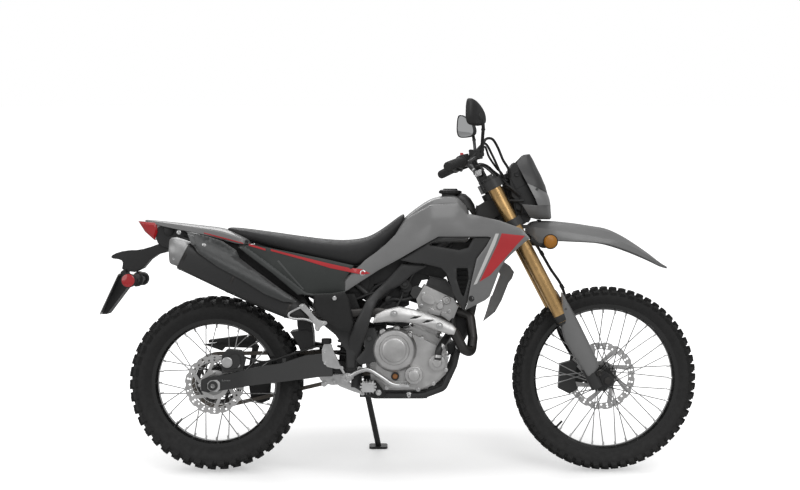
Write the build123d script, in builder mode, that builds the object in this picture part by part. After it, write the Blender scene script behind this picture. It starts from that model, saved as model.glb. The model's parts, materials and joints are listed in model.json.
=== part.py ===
from build123d import *
import math
import os

# A light dual sport motorcycle, parked on its side stand.
# The machine is laid out upright: +X forward, +Y to its left, +Z up, the rear axle above x = 0 and the
# road at z = 0. Every finished piece is then leaned over to the left, onto the stand, and the origin is
# put under the middle of the whole machine.

# ---------------------------------------------------------------- driving dimensions, millimetres
LEAN = 10                    # lean onto the side stand, degrees
RUNNING_GAP = 0.4            # between a pin or stem and the bore that turns on it
SIDE_GAP = 2                 # beside a turning hub or disc

# Steering head: the steering axis leans back by RAKE and passes through this point
HEAD_X, HEAD_Z = 1020, 1045
RAKE = 27.5
STEM_R = 14
HEAD_TUBE_R = 30
HEAD_TUBE_LENGTH = 120
CLAMP_GAP = 5                # between the head tube and each clamp
TOP_CLAMP = 34               # thickness of the upper clamp
LOW_CLAMP = 30               # thickness of the lower clamp

# Fork
FORK_HALF = 97               # from the middle of the machine to each leg
FORK_OFFSET = 21.3           # legs ahead of the steering axis
AXLE_LEAD = 41.35            # front axle ahead of the legs
AXLE_DROP = 821.7            # front axle below the head point, along the legs
OUTER_TUBE_R = 26
INNER_TUBE_R = 20.5
OUTER_TUBE_END = 552         # lower end of the outer tubes, below the head point
SOCKET_TOP = 745             # top of the axle clamps' sockets, below the head point

# Wheels
FRONT_R, FRONT_HALF_WIDTH = 345, 42
REAR_R, REAR_HALF_WIDTH = 327, 61
FRONT_RIM_R, REAR_RIM_R = 278, 241
RIM_FLANGE = 12              # flange height above the bead seat
RIM_DEPTH = 22               # flange top to the inside of the rim
FRONT_RIM_HALF, REAR_RIM_HALF = 25, 32
LUG_HEIGHT = 11              # of the tread blocks
FRONT_LUGS, REAR_LUGS = 26, 24   # in each row round the tyre
AXLE_R = 10
AXLE_BORE_R = 8
AXLE_BORE_DEPTH = 30
FRONT_SPOKES, REAR_SPOKES = 36, 32
SPOKE_R = 1.9
FRONT_DISC_R, REAR_DISC_R = 128, 110
DISC_THICK = 4
DISC_BAND = 26               # width of the braking band
DISC_HOLE_R = 4
FRONT_DISC_Y = 62            # middle of the front disc, on the left
REAR_DISC_Y = -78            # middle of the rear disc, on the right

# Rear drive
CHAIN_Y = 86
CHAIN_HALF = 7
CHAIN_HEIGHT = 14
LINK_PITCH = 48              # between the raised link plates
LINK_PROUD = 1.5
REAR_SPROCKET_R, FRONT_SPROCKET_R = 101, 36
REAR_AXLE_Z = 327
SWINGARM_LENGTH = 525        # rear axle to pivot, along x
PIVOT_X, PIVOT_Z = 525, 385
PIVOT_R = 9
ARM_INNER, ARM_OUTER = 96, 120

# Frame
SPAR_R = 19
CRADLE_R = 12.5
UPRIGHT_HALF = 54
CRADLE_HALF = 84
CRADLE_Z = 288
SUBFRAME_R = 11

# Engine
CASE_HALF = 68
CLUTCH_FACE = 146            # outermost clutch face, right of the middle
GENERATOR_FACE = 138
BARREL_LEAN = 25
BARREL_HALF = 62
BARREL_HEIGHT = 86

# Bodywork half widths
SEAT_HALF = 108
TAIL_HALF = 118
PLATE_WIDTH = 180

# Side stand
STAND_PIVOT_X, STAND_PIVOT_Y, STAND_PIVOT_Z = 560, 134, 285
STAND_PIN_R = 6
STAND_LEG_R = 11
STAND_EYE_HALF = 14          # half the length of the stand's eye on its pin
STAND_FOOT_X, STAND_FOOT_Y = 604, 262
STAND_AXIS_TILT = 25         # of the stand's hinge, up to the left

# Handlebar
BAR_R = 11
GRIP_R = 16.5
BAR_HALF = 410

os.makedirs("parts", exist_ok=True)

# ---------------------------------------------------------------- places worked out from them
STEERING = Plane(
    origin=(HEAD_X, 0, HEAD_Z),
    x_dir=(math.cos(math.radians(RAKE)), 0, math.sin(math.radians(RAKE))),
    z_dir=(-math.sin(math.radians(RAKE)), 0, math.cos(math.radians(RAKE))),
)
FRONT_AXLE = STEERING.from_local_coords((FORK_OFFSET + AXLE_LEAD, 0, -AXLE_DROP))
REAR_AXLE = Vector(PIVOT_X - SWINGARM_LENGTH, 0, REAR_AXLE_Z)
PIVOT = Vector(PIVOT_X, 0, PIVOT_Z)
CHAIN_LINE = (CHAIN_Y - CHAIN_HALF, CHAIN_Y + CHAIN_HALF)


# ---------------------------------------------------------------- ways of adding a shape
def side(y):
    """The upright lengthwise plane at this y: local x is forward, local y is up."""
    return Plane.XZ.offset(-y)


def slab(outline, y_from, y_to, mode=Mode.ADD):
    """A flat panel: a side outline of (x, z) points between two y values."""
    with BuildSketch(side(y_from)) as face:
        Polygon(*outline)
    way = math.copysign(1, y_to - y_from)
    extrude(to_extrude=face.sketch, amount=abs(y_to - y_from), dir=(0, way, 0), mode=mode)


def rod(start, end, radius, mode=Mode.ADD):
    """A round bar between two points."""
    start, end = Vector(*start), Vector(*end)
    run = end - start
    with BuildSketch(Plane(origin=start, z_dir=run)) as face:
        Circle(radius)
    extrude(to_extrude=face.sketch, amount=run.length, dir=run.normalized(), mode=mode)


def hub(axle, y_from, y_to, radius, mode=Mode.ADD):
    """A round bar across the machine, centred on an axle."""
    rod((axle.X, y_from, axle.Z), (axle.X, y_to, axle.Z), radius, mode)


def tube(points, radius, bend):
    """A bent round tube along straight runs, with this bend radius at its corners."""
    with BuildLine() as path:
        if len(points) == 2:
            Line(*points)
        else:
            FilletPolyline(*points, radius=bend)
    with BuildSketch(Plane(origin=path.line @ 0, z_dir=path.line % 0)) as face:
        Circle(radius)
    sweep(sections=face.sketch, path=path.line)


def both_sides(points, radius, bend):
    """A bent tube and its mirror image across the machine."""
    tube(points, radius, bend)
    tube([(x, -y, z) for x, y, z in points], radius, bend)


def body(sections):
    """Loft along x through rounded rectangles: rows of x, low z, high z, half width, corner radius."""
    faces = []
    for x, low, high, half, corner in sections:
        with BuildSketch(Plane.YZ.offset(x)) as face:
            with Locations((0, (low + high) / 2)):
                RectangleRounded(2 * half, high - low, corner)
        faces.append(face.sketch)
    loft(sections=faces)


def hood(sections, wall):
    """Loft an open-bottomed shell along x: rows of x, crown z, half width, side depth."""
    faces = []
    for x, crown, half, depth in sections:
        with BuildSketch(Plane.YZ.offset(x)) as face:
            Polygon(
                (-half, crown - depth), (-0.72 * half, crown - 0.22 * depth), (0, crown),
                (0.72 * half, crown - 0.22 * depth), (half, crown - depth),
                (half - wall, crown - depth), (0.72 * half - 0.7 * wall, crown - 0.22 * depth - wall),
                (0, crown - wall), (0.7 * wall - 0.72 * half, crown - 0.22 * depth - wall),
                (wall - half, crown - depth),
            )
        faces.append(face.sketch)
    loft(sections=faces, ruled=True)


def ring(axle, outline):
    """Revolve a closed outline of (y, radius) points about an axle."""
    with BuildSketch(Plane.YZ.offset(axle.X)) as face:
        Polygon(*[(y, axle.Z + radius) for y, radius in outline])
    revolve(profiles=face.sketch, axis=Axis((axle.X, 0, axle.Z), (0, 1, 0)))


def tilted_slab(outline, x_from, y_from, x_to, y_to, thickness):
    """A panel standing on a slanted plan line, outline in (x, z), thickened towards the middle."""
    along = Vector(x_to - x_from, y_to - y_from, 0)
    stretch = along.length / (x_to - x_from)
    normal = Vector(along.Y, -along.X, 0)
    plane = Plane(origin=(x_from, y_from, 0), x_dir=along, z_dir=normal)
    with BuildSketch(plane) as face:
        Polygon(*[((x - x_from) * stretch, z) for x, z in outline])
    extrude(to_extrude=face.sketch, amount=thickness, dir=-normal.normalized())


def cut(*pieces):
    """Take the room of neighbouring pieces out of the one being made."""
    for piece in pieces:
        add(piece.part, mode=Mode.SUBTRACT)


def wheel_tyre(axle, radius, half_width, rim_r, rim_half, lugs):
    """A knobbly tyre: a carcass of flat facets, with tread blocks in three staggered rows."""
    bead = rim_half - 5
    tread = radius - LUG_HEIGHT
    shoulder = tread - 0.34 * half_width
    crown_half, shoulder_half = 0.42 * half_width, 0.94 * half_width
    # distances from the middle of the tyre, with the radius there
    bands = [
        (0, tread), (crown_half, tread), (shoulder_half, shoulder), (half_width, (rim_r + shoulder) / 2),
        (bead, rim_r + 1),
    ]
    facets = 2 * lugs
    for way in (-1, 1):
        for near, far in zip(bands, bands[1:]):
            (start, start_r), (end, end_r) = sorted((near, far))
            band_face = Plane(origin=(axle.X, way * start, axle.Z), x_dir=(1, 0, 0), z_dir=(0, way, 0))
            with BuildSketch(band_face) as band:
                RegularPolygon(start_r, facets, major_radius=False, rotation=180 / facets)
            extrude(
                to_extrude=band.sketch, amount=end - start,
                taper=math.degrees(math.atan2(start_r - end_r, end - start)),
            )
    shoulder_lean = math.degrees(math.atan2(tread - shoulder, shoulder_half - crown_half))
    shoulder_run = math.hypot(tread - shoulder, shoulder_half - crown_half)
    # distance from the middle, radius, block width, lean, place round the tyre in pitches
    rows = [
        (0, tread, 1.5 * crown_half, 0, 0),
        ((crown_half + shoulder_half) / 2, (tread + shoulder) / 2, 0.8 * shoulder_run, shoulder_lean, 0.5),
        (-(crown_half + shoulder_half) / 2, (tread + shoulder) / 2, 0.8 * shoulder_run, -shoulder_lean, 0.5),
    ]
    for along, row_r, width, lean, shift in rows:
        places = []
        for lug in range(lugs):
            turn = 2 * math.pi * (lug + shift) / lugs
            out = Vector(math.cos(turn), 0, math.sin(turn))
            tip = out * math.cos(math.radians(lean)) + Vector(0, 1, 0) * math.sin(math.radians(lean))
            seat = Vector(axle.X, along, axle.Z) + out * row_r
            places.append(Plane(origin=seat, x_dir=(-out.Z, 0, out.X), z_dir=tip).location)
        with Locations(*places):
            Box(0.8 * 2 * math.pi * tread / facets, width, 2 * LUG_HEIGHT)
    hub(axle, -half_width, half_width, rim_r - RIM_FLANGE, mode=Mode.SUBTRACT)


def wheel_rim(axle, rim_r, rim_half):
    """A drop-centre rim with a flange each side."""
    seat = rim_r - RIM_FLANGE
    lip = rim_half - 5
    inside = rim_r - RIM_DEPTH
    ring(axle, [
        (-rim_half, rim_r), (-lip, rim_r), (-lip, seat), (lip, seat), (lip, rim_r), (rim_half, rim_r),
        (rim_half, seat - 2), (0.45 * rim_half, inside), (-0.45 * rim_half, inside), (-rim_half, seat - 2),
    ])


def spoke_set(axle, count, rim_inside, flange_r, flange_y, rim_y):
    """Crossed wire spokes: each flange carries half of them, inside and outside pulls in turn."""
    for turn in range(count):
        here = 2 * math.pi * turn / count
        sideways = 1 if turn % 2 else -1
        pull = 1 if turn % 4 < 2 else -1
        root = here + pull * math.radians(62)
        y_root = sideways * (flange_y + 4 * pull)
        rod(
            (axle.X + flange_r * math.cos(root), y_root, axle.Z + flange_r * math.sin(root)),
            (axle.X + rim_inside * math.cos(here), sideways * rim_y, axle.Z + rim_inside * math.sin(here)),
            SPOKE_R,
        )


def brake_disc(axle, y_middle, radius, band, carrier_r, arms, waves=0):
    """A disc on a carrier: an outer band, scalloped and drilled where it has waves, on swept arms."""
    face = Plane(origin=(axle.X, y_middle - DISC_THICK / 2, axle.Z), x_dir=(1, 0, 0), z_dir=(0, 1, 0))
    arm_foot, arm_tip = carrier_r - 6, radius - band + 4
    with BuildSketch(face) as disc_face:
        Circle(radius)
        if waves:
            with PolarLocations(radius + 11, waves):
                Circle(15, mode=Mode.SUBTRACT)
            with PolarLocations(radius - 0.36 * band, waves, start_angle=180 / waves):
                Circle(DISC_HOLE_R, mode=Mode.SUBTRACT)
            with PolarLocations(radius - 0.72 * band, 2 * waves):
                Circle(DISC_HOLE_R, mode=Mode.SUBTRACT)
        Circle(radius - band, mode=Mode.SUBTRACT)
        for arm in range(arms):
            root = 2 * math.pi * arm / arms
            tip = root + math.radians(28)
            arm_ends = [
                (arm_foot, root - 0.17), (arm_tip, tip - 0.1), (arm_tip, tip + 0.1), (arm_foot, root + 0.17),
            ]
            Polygon(*[(at * math.cos(turn), at * math.sin(turn)) for at, turn in arm_ends], align=None)
        Circle(carrier_r)
        Circle(carrier_r - 16, mode=Mode.SUBTRACT)
    extrude(to_extrude=disc_face.sketch, amount=DISC_THICK)


# ================================================================ front wheel
FRONT_HUB_HALF = 56
with BuildPart() as front_rim:
    wheel_rim(FRONT_AXLE, FRONT_RIM_R, FRONT_RIM_HALF)

with BuildPart() as front_tyre:
    wheel_tyre(FRONT_AXLE, FRONT_R, FRONT_HALF_WIDTH, FRONT_RIM_R, FRONT_RIM_HALF, FRONT_LUGS)
    cut(front_rim)

with BuildPart() as front_hub:
    hub(FRONT_AXLE, -FRONT_HUB_HALF, FRONT_HUB_HALF, 20)
    for flange_side in (-1, 1):
        hub(FRONT_AXLE, flange_side * 23, flange_side * 32, 36)
    hub(FRONT_AXLE, FRONT_HUB_HALF - 8, FRONT_DISC_Y - DISC_THICK / 2, 56)
    spoke_set(FRONT_AXLE, FRONT_SPOKES, FRONT_RIM_R - RIM_DEPTH, 31, 27.5, 6)
    hub(FRONT_AXLE, -FRONT_HUB_HALF, FRONT_DISC_Y, AXLE_R, mode=Mode.SUBTRACT)
    cut(front_rim)

with BuildPart() as front_disc:
    brake_disc(FRONT_AXLE, FRONT_DISC_Y, FRONT_DISC_R, DISC_BAND, 58, 8, 16)

# ================================================================ rear wheel
REAR_HUB_HALF = 58
SPROCKET_THICK = 6
with BuildPart() as rear_rim:
    wheel_rim(REAR_AXLE, REAR_RIM_R, REAR_RIM_HALF)

with BuildPart() as rear_tyre:
    wheel_tyre(REAR_AXLE, REAR_R, REAR_HALF_WIDTH, REAR_RIM_R, REAR_RIM_HALF, REAR_LUGS)
    cut(rear_rim)

with BuildPart() as rear_hub:
    hub(REAR_AXLE, -REAR_HUB_HALF, REAR_HUB_HALF, 32)
    for flange_side in (-1, 1):
        hub(REAR_AXLE, flange_side * 30, flange_side * 40, 54)
    hub(REAR_AXLE, -REAR_HUB_HALF, REAR_DISC_Y + DISC_THICK / 2, 52)
    hub(REAR_AXLE, REAR_HUB_HALF, CHAIN_Y - SPROCKET_THICK / 2, 60)
    spoke_set(REAR_AXLE, REAR_SPOKES, REAR_RIM_R - RIM_DEPTH, 48, 35, 9)
    hub(REAR_AXLE, -CHAIN_Y, CHAIN_Y, AXLE_R, mode=Mode.SUBTRACT)
    cut(rear_rim)

with BuildPart() as rear_disc:
    brake_disc(REAR_AXLE, REAR_DISC_Y, REAR_DISC_R, DISC_BAND, 54, 6, 14)

with BuildPart() as rear_sprocket:
    brake_disc(REAR_AXLE, CHAIN_Y, REAR_SPROCKET_R - CHAIN_HEIGHT / 2 - SIDE_GAP, 18, 62, 8)

# ================================================================ frame
HEAD_LOW = -CLAMP_GAP - HEAD_TUBE_LENGTH
NECK = STEERING.from_local_coords((-6, 0, 0.55 * HEAD_LOW))
NECK_LOW = STEERING.from_local_coords((-22, 0, 0.64 * HEAD_LOW))
LEG_CROSS = (905, 0, 470)            # where the down tube meets the two cradle tubes
SHOCK_TOP = (505, 0, 640)
with BuildPart() as frame:
    head_foot = STEERING.from_local_coords((0, 0, HEAD_LOW))
    rod(head_foot, STEERING.from_local_coords((0, 0, -CLAMP_GAP)), HEAD_TUBE_R)
    both_sides([
        tuple(NECK), (900, -62, 890), (742, -72, 768), (655, -72, 693), (590, -70, 640),
        (552, -UPRIGHT_HALF, 550), (PIVOT_X + 5, -UPRIGHT_HALF, PIVOT_Z + 60),
        (PIVOT_X, -UPRIGHT_HALF, PIVOT_Z - 70),
    ], SPAR_R, 45)
    tube([tuple(NECK_LOW), (945, 0, 545), LEG_CROSS], 17, 60)
    both_sides([
        LEG_CROSS, (905, -CRADLE_HALF, 468), (889, -CRADLE_HALF, 400), (850, -CRADLE_HALF, 316),
        (775, -CRADLE_HALF, CRADLE_Z), (590, -CRADLE_HALF, CRADLE_Z), (PIVOT_X, -UPRIGHT_HALF, PIVOT_Z - 60),
    ], CRADLE_R, 30)
    boss_half = UPRIGHT_HALF + SPAR_R + 4
    rod((PIVOT_X, -boss_half, PIVOT_Z), (PIVOT_X, boss_half, PIVOT_Z), PIVOT_R + 8)
    rod((SHOCK_TOP[0] + 58, -66, SHOCK_TOP[2] - 40), (SHOCK_TOP[0] + 58, 66, SHOCK_TOP[2] - 40), 13)
    slab([(490, 630), (520, 655), (580, 620), (560, 580)], -9, 9)
    slab([(870, 430), (905, 455), (900, 490), (866, 470)], -30, 30)
    slab([(700, 276), (790, 276), (790, 304), (700, 304)], -CRADLE_HALF, CRADLE_HALF)
    rod((PIVOT_X, -200, PIVOT_Z), (PIVOT_X, 200, PIVOT_Z), PIVOT_R, mode=Mode.SUBTRACT)
    rod(STEERING.from_local_coords((0, 0, HEAD_LOW - 20)), STEERING.from_local_coords((0, 0, 20)),
        STEM_R + RUNNING_GAP, mode=Mode.SUBTRACT)
    slab([(PIVOT_X - 60, PIVOT_Z - 60), (PIVOT_X + 40, PIVOT_Z - 60), (PIVOT_X + 40, PIVOT_Z + 60),
          (PIVOT_X - 60, PIVOT_Z + 60)], -36, 36, mode=Mode.SUBTRACT)

with BuildPart() as subframe:
    both_sides([(590, -74, 645), (420, -74, 782), (150, -66, 826), (-120, -50, 868)], SUBFRAME_R, 60)
    both_sides([(548, -66, 560), (300, -72, 690), (40, -64, 835)], SUBFRAME_R, 60)
    rod((-110, -51, 866), (-110, 51, 866), SUBFRAME_R)
    rod((150, -66, 826), (150, 66, 826), SUBFRAME_R)
    rod((392, -74, 784), (392, 74, 784), 8)
    cut(frame)

# ================================================================ engine
BARREL_BASE = (775, 0, 505)
BARREL = Plane(
    origin=BARREL_BASE,
    x_dir=(math.cos(math.radians(BARREL_LEAN)), 0, -math.sin(math.radians(BARREL_LEAN))),
    z_dir=(math.sin(math.radians(BARREL_LEAN)), 0, math.cos(math.radians(BARREL_LEAN))),
)
CLUTCH = Vector(668, 0, 460)
OIL_FILTER = Vector(740, 0, 366)
PUMP = Vector(826, 0, 412)
GENERATOR = Vector(745, 0, 405)
SPROCKET_SHAFT = Vector(612, 0, 400)
CASE_OUTLINE = [
    (598, 470), (578, 430), (580, 345), (610, 306), (760, 304), (818, 326), (860, 366), (870, 430),
    (848, 482), (815, 512), (735, 540), (690, 532), (640, 520),
]
COVER_OUTLINE = [
    (606, 452), (600, 372), (640, 318), (756, 312), (812, 334), (858, 384), (862, 430), (832, 470),
    (770, 500), (728, 520), (672, 540), (622, 516),
]
GENERATOR_OUTLINE = [
    (672, 338), (756, 312), (812, 334), (858, 384), (858, 430), (820, 470), (745, 495), (684, 478),
    (674, 420),
]
COVER_DEPTH = 34
COVER_BOSS_R = 8
COVER_BOSS = 5               # how far the screw bosses stand out
with BuildPart() as engine_cases:
    slab(CASE_OUTLINE, -CASE_HALF, CASE_HALF)
    slab([(700, 300), (790, 306), (812, 330), (700, 330)], -40, 40)
    hub(Vector(842, 0, 470), 8, 66, 27)
    rod((612, 0, 470), (600, 0, 520), 16)
    cut(frame)

with BuildPart() as clutch_cover:
    slab(COVER_OUTLINE, -CASE_HALF, -CASE_HALF - COVER_DEPTH)
    for boss_x, boss_z in COVER_OUTLINE:
        hub(Vector(boss_x, 0, boss_z), -CASE_HALF, -CASE_HALF - COVER_DEPTH - COVER_BOSS, COVER_BOSS_R)
    hub(CLUTCH, -CASE_HALF - COVER_DEPTH, -CLUTCH_FACE + 26, 82)
    hub(CLUTCH, -CLUTCH_FACE + 26, -CLUTCH_FACE + 10, 73)
    hub(CLUTCH, -CLUTCH_FACE + 10, -CLUTCH_FACE + 4, 54)
    hub(CLUTCH, -CLUTCH_FACE + 4, -CLUTCH_FACE, 43)
    hub(OIL_FILTER, -CASE_HALF - COVER_DEPTH, -CLUTCH_FACE + 18, 32)
    hub(OIL_FILTER, -CLUTCH_FACE + 18, -CLUTCH_FACE + 12, 20)
    hub(PUMP, -CASE_HALF - COVER_DEPTH, -CLUTCH_FACE + 20, 30)
    hub(PUMP, -CLUTCH_FACE + 20, -CLUTCH_FACE + 8, 15)
    hub(Vector(671, 0, 361), -CASE_HALF - COVER_DEPTH, -CLUTCH_FACE + 34, 13)
    tube([
        (PUMP.X, 14 - CLUTCH_FACE, PUMP.Z + 8), (PUMP.X + 2, 14 - CLUTCH_FACE, PUMP.Z + 44),
        (PUMP.X + 22, 22 - CLUTCH_FACE, PUMP.Z + 66),
    ], 11, 20)
    cut(frame)

with BuildPart() as generator_cover:
    slab(GENERATOR_OUTLINE, CASE_HALF, CASE_HALF + 30)
    for boss_x, boss_z in GENERATOR_OUTLINE:
        hub(Vector(boss_x, 0, boss_z), CASE_HALF, CASE_HALF + 30 + COVER_BOSS, COVER_BOSS_R)
    hub(GENERATOR, CASE_HALF + 30, GENERATOR_FACE - 12, 66)
    hub(GENERATOR, GENERATOR_FACE - 12, GENERATOR_FACE, 50)
    cut(frame)

HEAD_OUTLINE = [(780, 696), (888, 646), (905, 614), (882, 556), (852, 560), (758, 604), (750, 644)]
with BuildPart() as cylinder:
    with BuildSketch(BARREL) as barrel_face:
        RectangleRounded(112, 2 * BARREL_HALF, 16)
    extrude(to_extrude=barrel_face.sketch, amount=BARREL_HEIGHT, dir=BARREL.z_dir)
    with BuildSketch(BARREL.offset(BARREL_HEIGHT - 14)) as gasket_face:
        RectangleRounded(122, 2 * BARREL_HALF + 8, 16)
    extrude(to_extrude=gasket_face.sketch, amount=8, dir=BARREL.z_dir)
    slab(HEAD_OUTLINE, -BARREL_HALF - 6, BARREL_HALF + 6)
    slab([(768, 655), (846, 622), (862, 652), (784, 688)], -BARREL_HALF - 14, BARREL_HALF + 6)
    slab([(790, 690), (804, 726), (862, 712), (890, 664), (888, 646)], -BARREL_HALF + 8, BARREL_HALF - 8)
    for plug_x, plug_z in ((826, 592), (868, 578)):
        hub(Vector(plug_x, 0, plug_z), -BARREL_HALF - 6, -BARREL_HALF - 22, 13)
    hub(Vector(862, 0, 640), -BARREL_HALF - 6, -BARREL_HALF - 14, 12)
    rod((885, 0, 610), (918, 0, 596), 24)
    cut(engine_cases, frame)

# ---------------------------------------------------------------- intake and exhaust
AIRBOX_FACE_X = 590
with BuildPart() as intake:
    rod((772, 0, 642), (AIRBOX_FACE_X - 6, 0, 708), 24)
    hub(Vector(706, 0, 668), -52, 40, 17)
    hub(Vector(713, 0, 688), -64, -20, 20)
    airbox = [(402, 668), (560, 640), (AIRBOX_FACE_X, 690), (AIRBOX_FACE_X, 744), (540, 762), (420, 776)]
    slab(airbox, -50, 50)
    slab([(480, 600), (560, 600), (548, 700), (476, 700)], -60, 60, mode=Mode.SUBTRACT)
    cut(cylinder, frame, subframe)

PIPE_R = 18.5
PIPE_ROUTE = [
    (872, -34, 604), (950, -52, 582), (960, -66, 500), (952, -98, 448), (922, -128, 462), (888, -130, 526),
    (838, -136, 568), (740, -140, 584), (610, -140, 600), (470, -130, 592), (345, -128, 585),
]
MUFFLER_FRONT = Vector(345, -128, 585)
MUFFLER_REAR = Vector(-118, -152, 817)
MUFFLER_RUN = MUFFLER_REAR - MUFFLER_FRONT
MUFFLER = Plane(origin=MUFFLER_FRONT, x_dir=(0, 1, 0), z_dir=MUFFLER_RUN)
# distance along the muffler, half width, half height
MUFFLER_SECTIONS = [(0, 26, 26), (70, 40, 43), (230, 46, 52), (0.985 * MUFFLER_RUN.length, 46, 55)]
with BuildPart() as exhaust_pipe:
    tube(PIPE_ROUTE, PIPE_R, 24)
    cut(cylinder)

with BuildPart() as muffler:
    muffler_faces = []
    for along, half_width, half_height in MUFFLER_SECTIONS:
        with BuildSketch(MUFFLER.offset(along)) as muffler_face:
            Ellipse(half_width, half_height)
        muffler_faces.append(muffler_face.sketch)
    loft(sections=muffler_faces)
    with BuildSketch(MUFFLER.offset(0.985 * MUFFLER_RUN.length)) as cap_face:
        Ellipse(42, 51)
    extrude(to_extrude=cap_face.sketch, amount=22, dir=MUFFLER.z_dir)
    rod(MUFFLER_REAR + Vector(20, 10, -10), MUFFLER_REAR + Vector(-30, -4, 6), 17)
    cut(exhaust_pipe, subframe)

SHIELD_FACE = 156             # depth of the shields' slots, from the middle of the machine
with BuildPart() as exhaust_shields:
    slab([
        (588, 561), (600, 593), (634, 610), (685, 622), (743, 610), (800, 592), (848, 574), (895, 539),
        (886, 515), (865, 515), (806, 538), (760, 552), (701, 560), (638, 562),
    ], -142, -166)
    for slot_x, slot_z in ((738, 580), (766, 572), (794, 563)):
        slab([
            (slot_x - 18, slot_z - 8), (slot_x + 8, slot_z + 7), (slot_x + 18, slot_z + 8),
            (slot_x - 8, slot_z - 7),
        ], -SHIELD_FACE, -200, mode=Mode.SUBTRACT)
    slab([
        (-93, 898), (-12, 879), (39, 862), (89, 828), (101, 800), (168, 749), (298, 653), (312, 637),
        (264, 639), (196, 667), (112, 721), (28, 766), (-48, 819), (-68, 853),
    ], -160, -208)
    cut(exhaust_pipe, muffler)

# ---------------------------------------------------------------- radiator on the left
RADIATOR_Y = 98
RADIATOR_IN, RADIATOR_OUT = 60, 128
with BuildPart() as radiator:
    slab([(926, 660), (960, 650), (1018, 850), (984, 862)], RADIATOR_IN, RADIATOR_OUT)
    rod((968, RADIATOR_Y, 842), (880, 40, 700), 12)
    rod((936, RADIATOR_Y, 672), (858, 70, 450), 12)
    cut(frame, cylinder, engine_cases, generator_cover)

# ================================================================ rear suspension and drive
ARM_OUTLINE = [
    (-44, 348), (-20, 358), (66, 372), (150, 393), (249, 409), (348, 440), (400, 443), (440, 428),
    (440, 362), (397, 360), (348, 353), (249, 341), (150, 329), (61, 314), (-20, 302), (-44, 308),
]
PIVOT_NECK = 33
with BuildPart() as swingarm:
    slab(ARM_OUTLINE, -ARM_INNER, -ARM_OUTER)
    slab(ARM_OUTLINE, ARM_INNER, ARM_OUTER)
    slab([(352, 362), (440, 362), (440, 412), (352, 412)], -ARM_INNER, ARM_INNER)
    for fork_side in (-1, 1):
        slab([(430, 364), (PIVOT_X, PIVOT_Z - 21), (PIVOT_X, PIVOT_Z + 21), (430, 412)],
             fork_side * 22, fork_side * PIVOT_NECK)
    hub(PIVOT, -PIVOT_NECK, PIVOT_NECK, 21)
    hub(PIVOT, -UPRIGHT_HALF - SPAR_R - 12, UPRIGHT_HALF + SPAR_R + 12, PIVOT_R)
    hub(REAR_AXLE, -ARM_OUTER - 12, ARM_OUTER + 12, AXLE_R - RUNNING_GAP)
    for end_side in (-1, 1):
        hub(REAR_AXLE, end_side * ARM_OUTER, end_side * (ARM_OUTER + 10), 18)
        hub(REAR_AXLE, end_side * (CHAIN_Y + SPROCKET_THICK / 2 + SIDE_GAP), end_side * ARM_INNER, 15)
    hub(REAR_AXLE, -ARM_OUTER - 12, -ARM_OUTER - 12 + AXLE_BORE_DEPTH, AXLE_BORE_R, mode=Mode.SUBTRACT)

with BuildPart() as shock:
    rod((470, 0, 356), (SHOCK_TOP[0], 0, SHOCK_TOP[2]), 10)
    rod((476, 0, 420), (500, 0, 610), 31)
    rod((482, -16, 345), (482, 16, 345), 14)
    slab([(385, 345), (395, 362), (430, 356), (492, 358), (492, 332), (440, 318), (400, 330)], -17, 17)
    slab([(440, 318), (455, 345), (560, 300), (560, 282), (540, 282)], -12, 12)
    cut(frame, swingarm, intake)

CHAIN_REACH = CHAIN_HEIGHT / 2
with BuildPart() as chain:
    near, far = CHAIN_LINE
    shaft, axle = SPROCKET_SHAFT, REAR_AXLE
    slope = math.asin((REAR_SPROCKET_R - FRONT_SPROCKET_R) / (shaft - axle).length)
    tilt = math.atan2(shaft.Z - axle.Z, shaft.X - axle.X)
    for reach, chain_mode in ((CHAIN_REACH, Mode.ADD), (-CHAIN_REACH, Mode.SUBTRACT)):
        corners = []
        for turn in (1, -1):
            lean = tilt + turn * (math.pi / 2 - slope)
            for centre, pitch_r in ((axle, REAR_SPROCKET_R), (shaft, FRONT_SPROCKET_R)):
                corners.append((centre.X + (pitch_r + reach) * math.cos(lean),
                                centre.Z + (pitch_r + reach) * math.sin(lean)))
        slab([corners[0], corners[1], corners[3], corners[2]], near, far, mode=chain_mode)
        hub(axle, near, far, REAR_SPROCKET_R + reach, mode=chain_mode)
        hub(shaft, near, far, FRONT_SPROCKET_R + reach, mode=chain_mode)
    for run_side in (1, -1):
        lean = tilt + run_side * (math.pi / 2 - slope)
        start = axle + Vector(math.cos(lean), 0, math.sin(lean)) * REAR_SPROCKET_R
        end = shaft + Vector(math.cos(lean), 0, math.sin(lean)) * FRONT_SPROCKET_R
        links = int((end - start).length / LINK_PITCH)
        along = (end - start).normalized()
        with Locations(*[
            Plane(origin=start + along * LINK_PITCH * (link + 0.5) + Vector(0, CHAIN_Y, 0), x_dir=along,
                  z_dir=(0, 1, 0)).location for link in range(links)
        ]):
            Box(0.5 * LINK_PITCH, CHAIN_HEIGHT - 3, 2 * (CHAIN_HALF + LINK_PROUD))
    hub(shaft, near + 4, far - 4, FRONT_SPROCKET_R - CHAIN_REACH)
    hub(shaft, CASE_HALF, far + 3, 13)

with BuildPart() as chain_guard:
    slab([(-41, 470), (-41, 480), (151, 505), (330, 478), (420, 462), (420, 446), (330, 458), (151, 476)],
         CHAIN_Y - 14, ARM_OUTER)
    slab([(236, 395), (262, 395), (262, 500), (236, 500)], ARM_OUTER - 8, ARM_OUTER)
    slab([(107, 330), (196, 338), (190, 250), (160, 236), (118, 250)], ARM_INNER + 2, ARM_OUTER)
    cut(swingarm)

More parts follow.
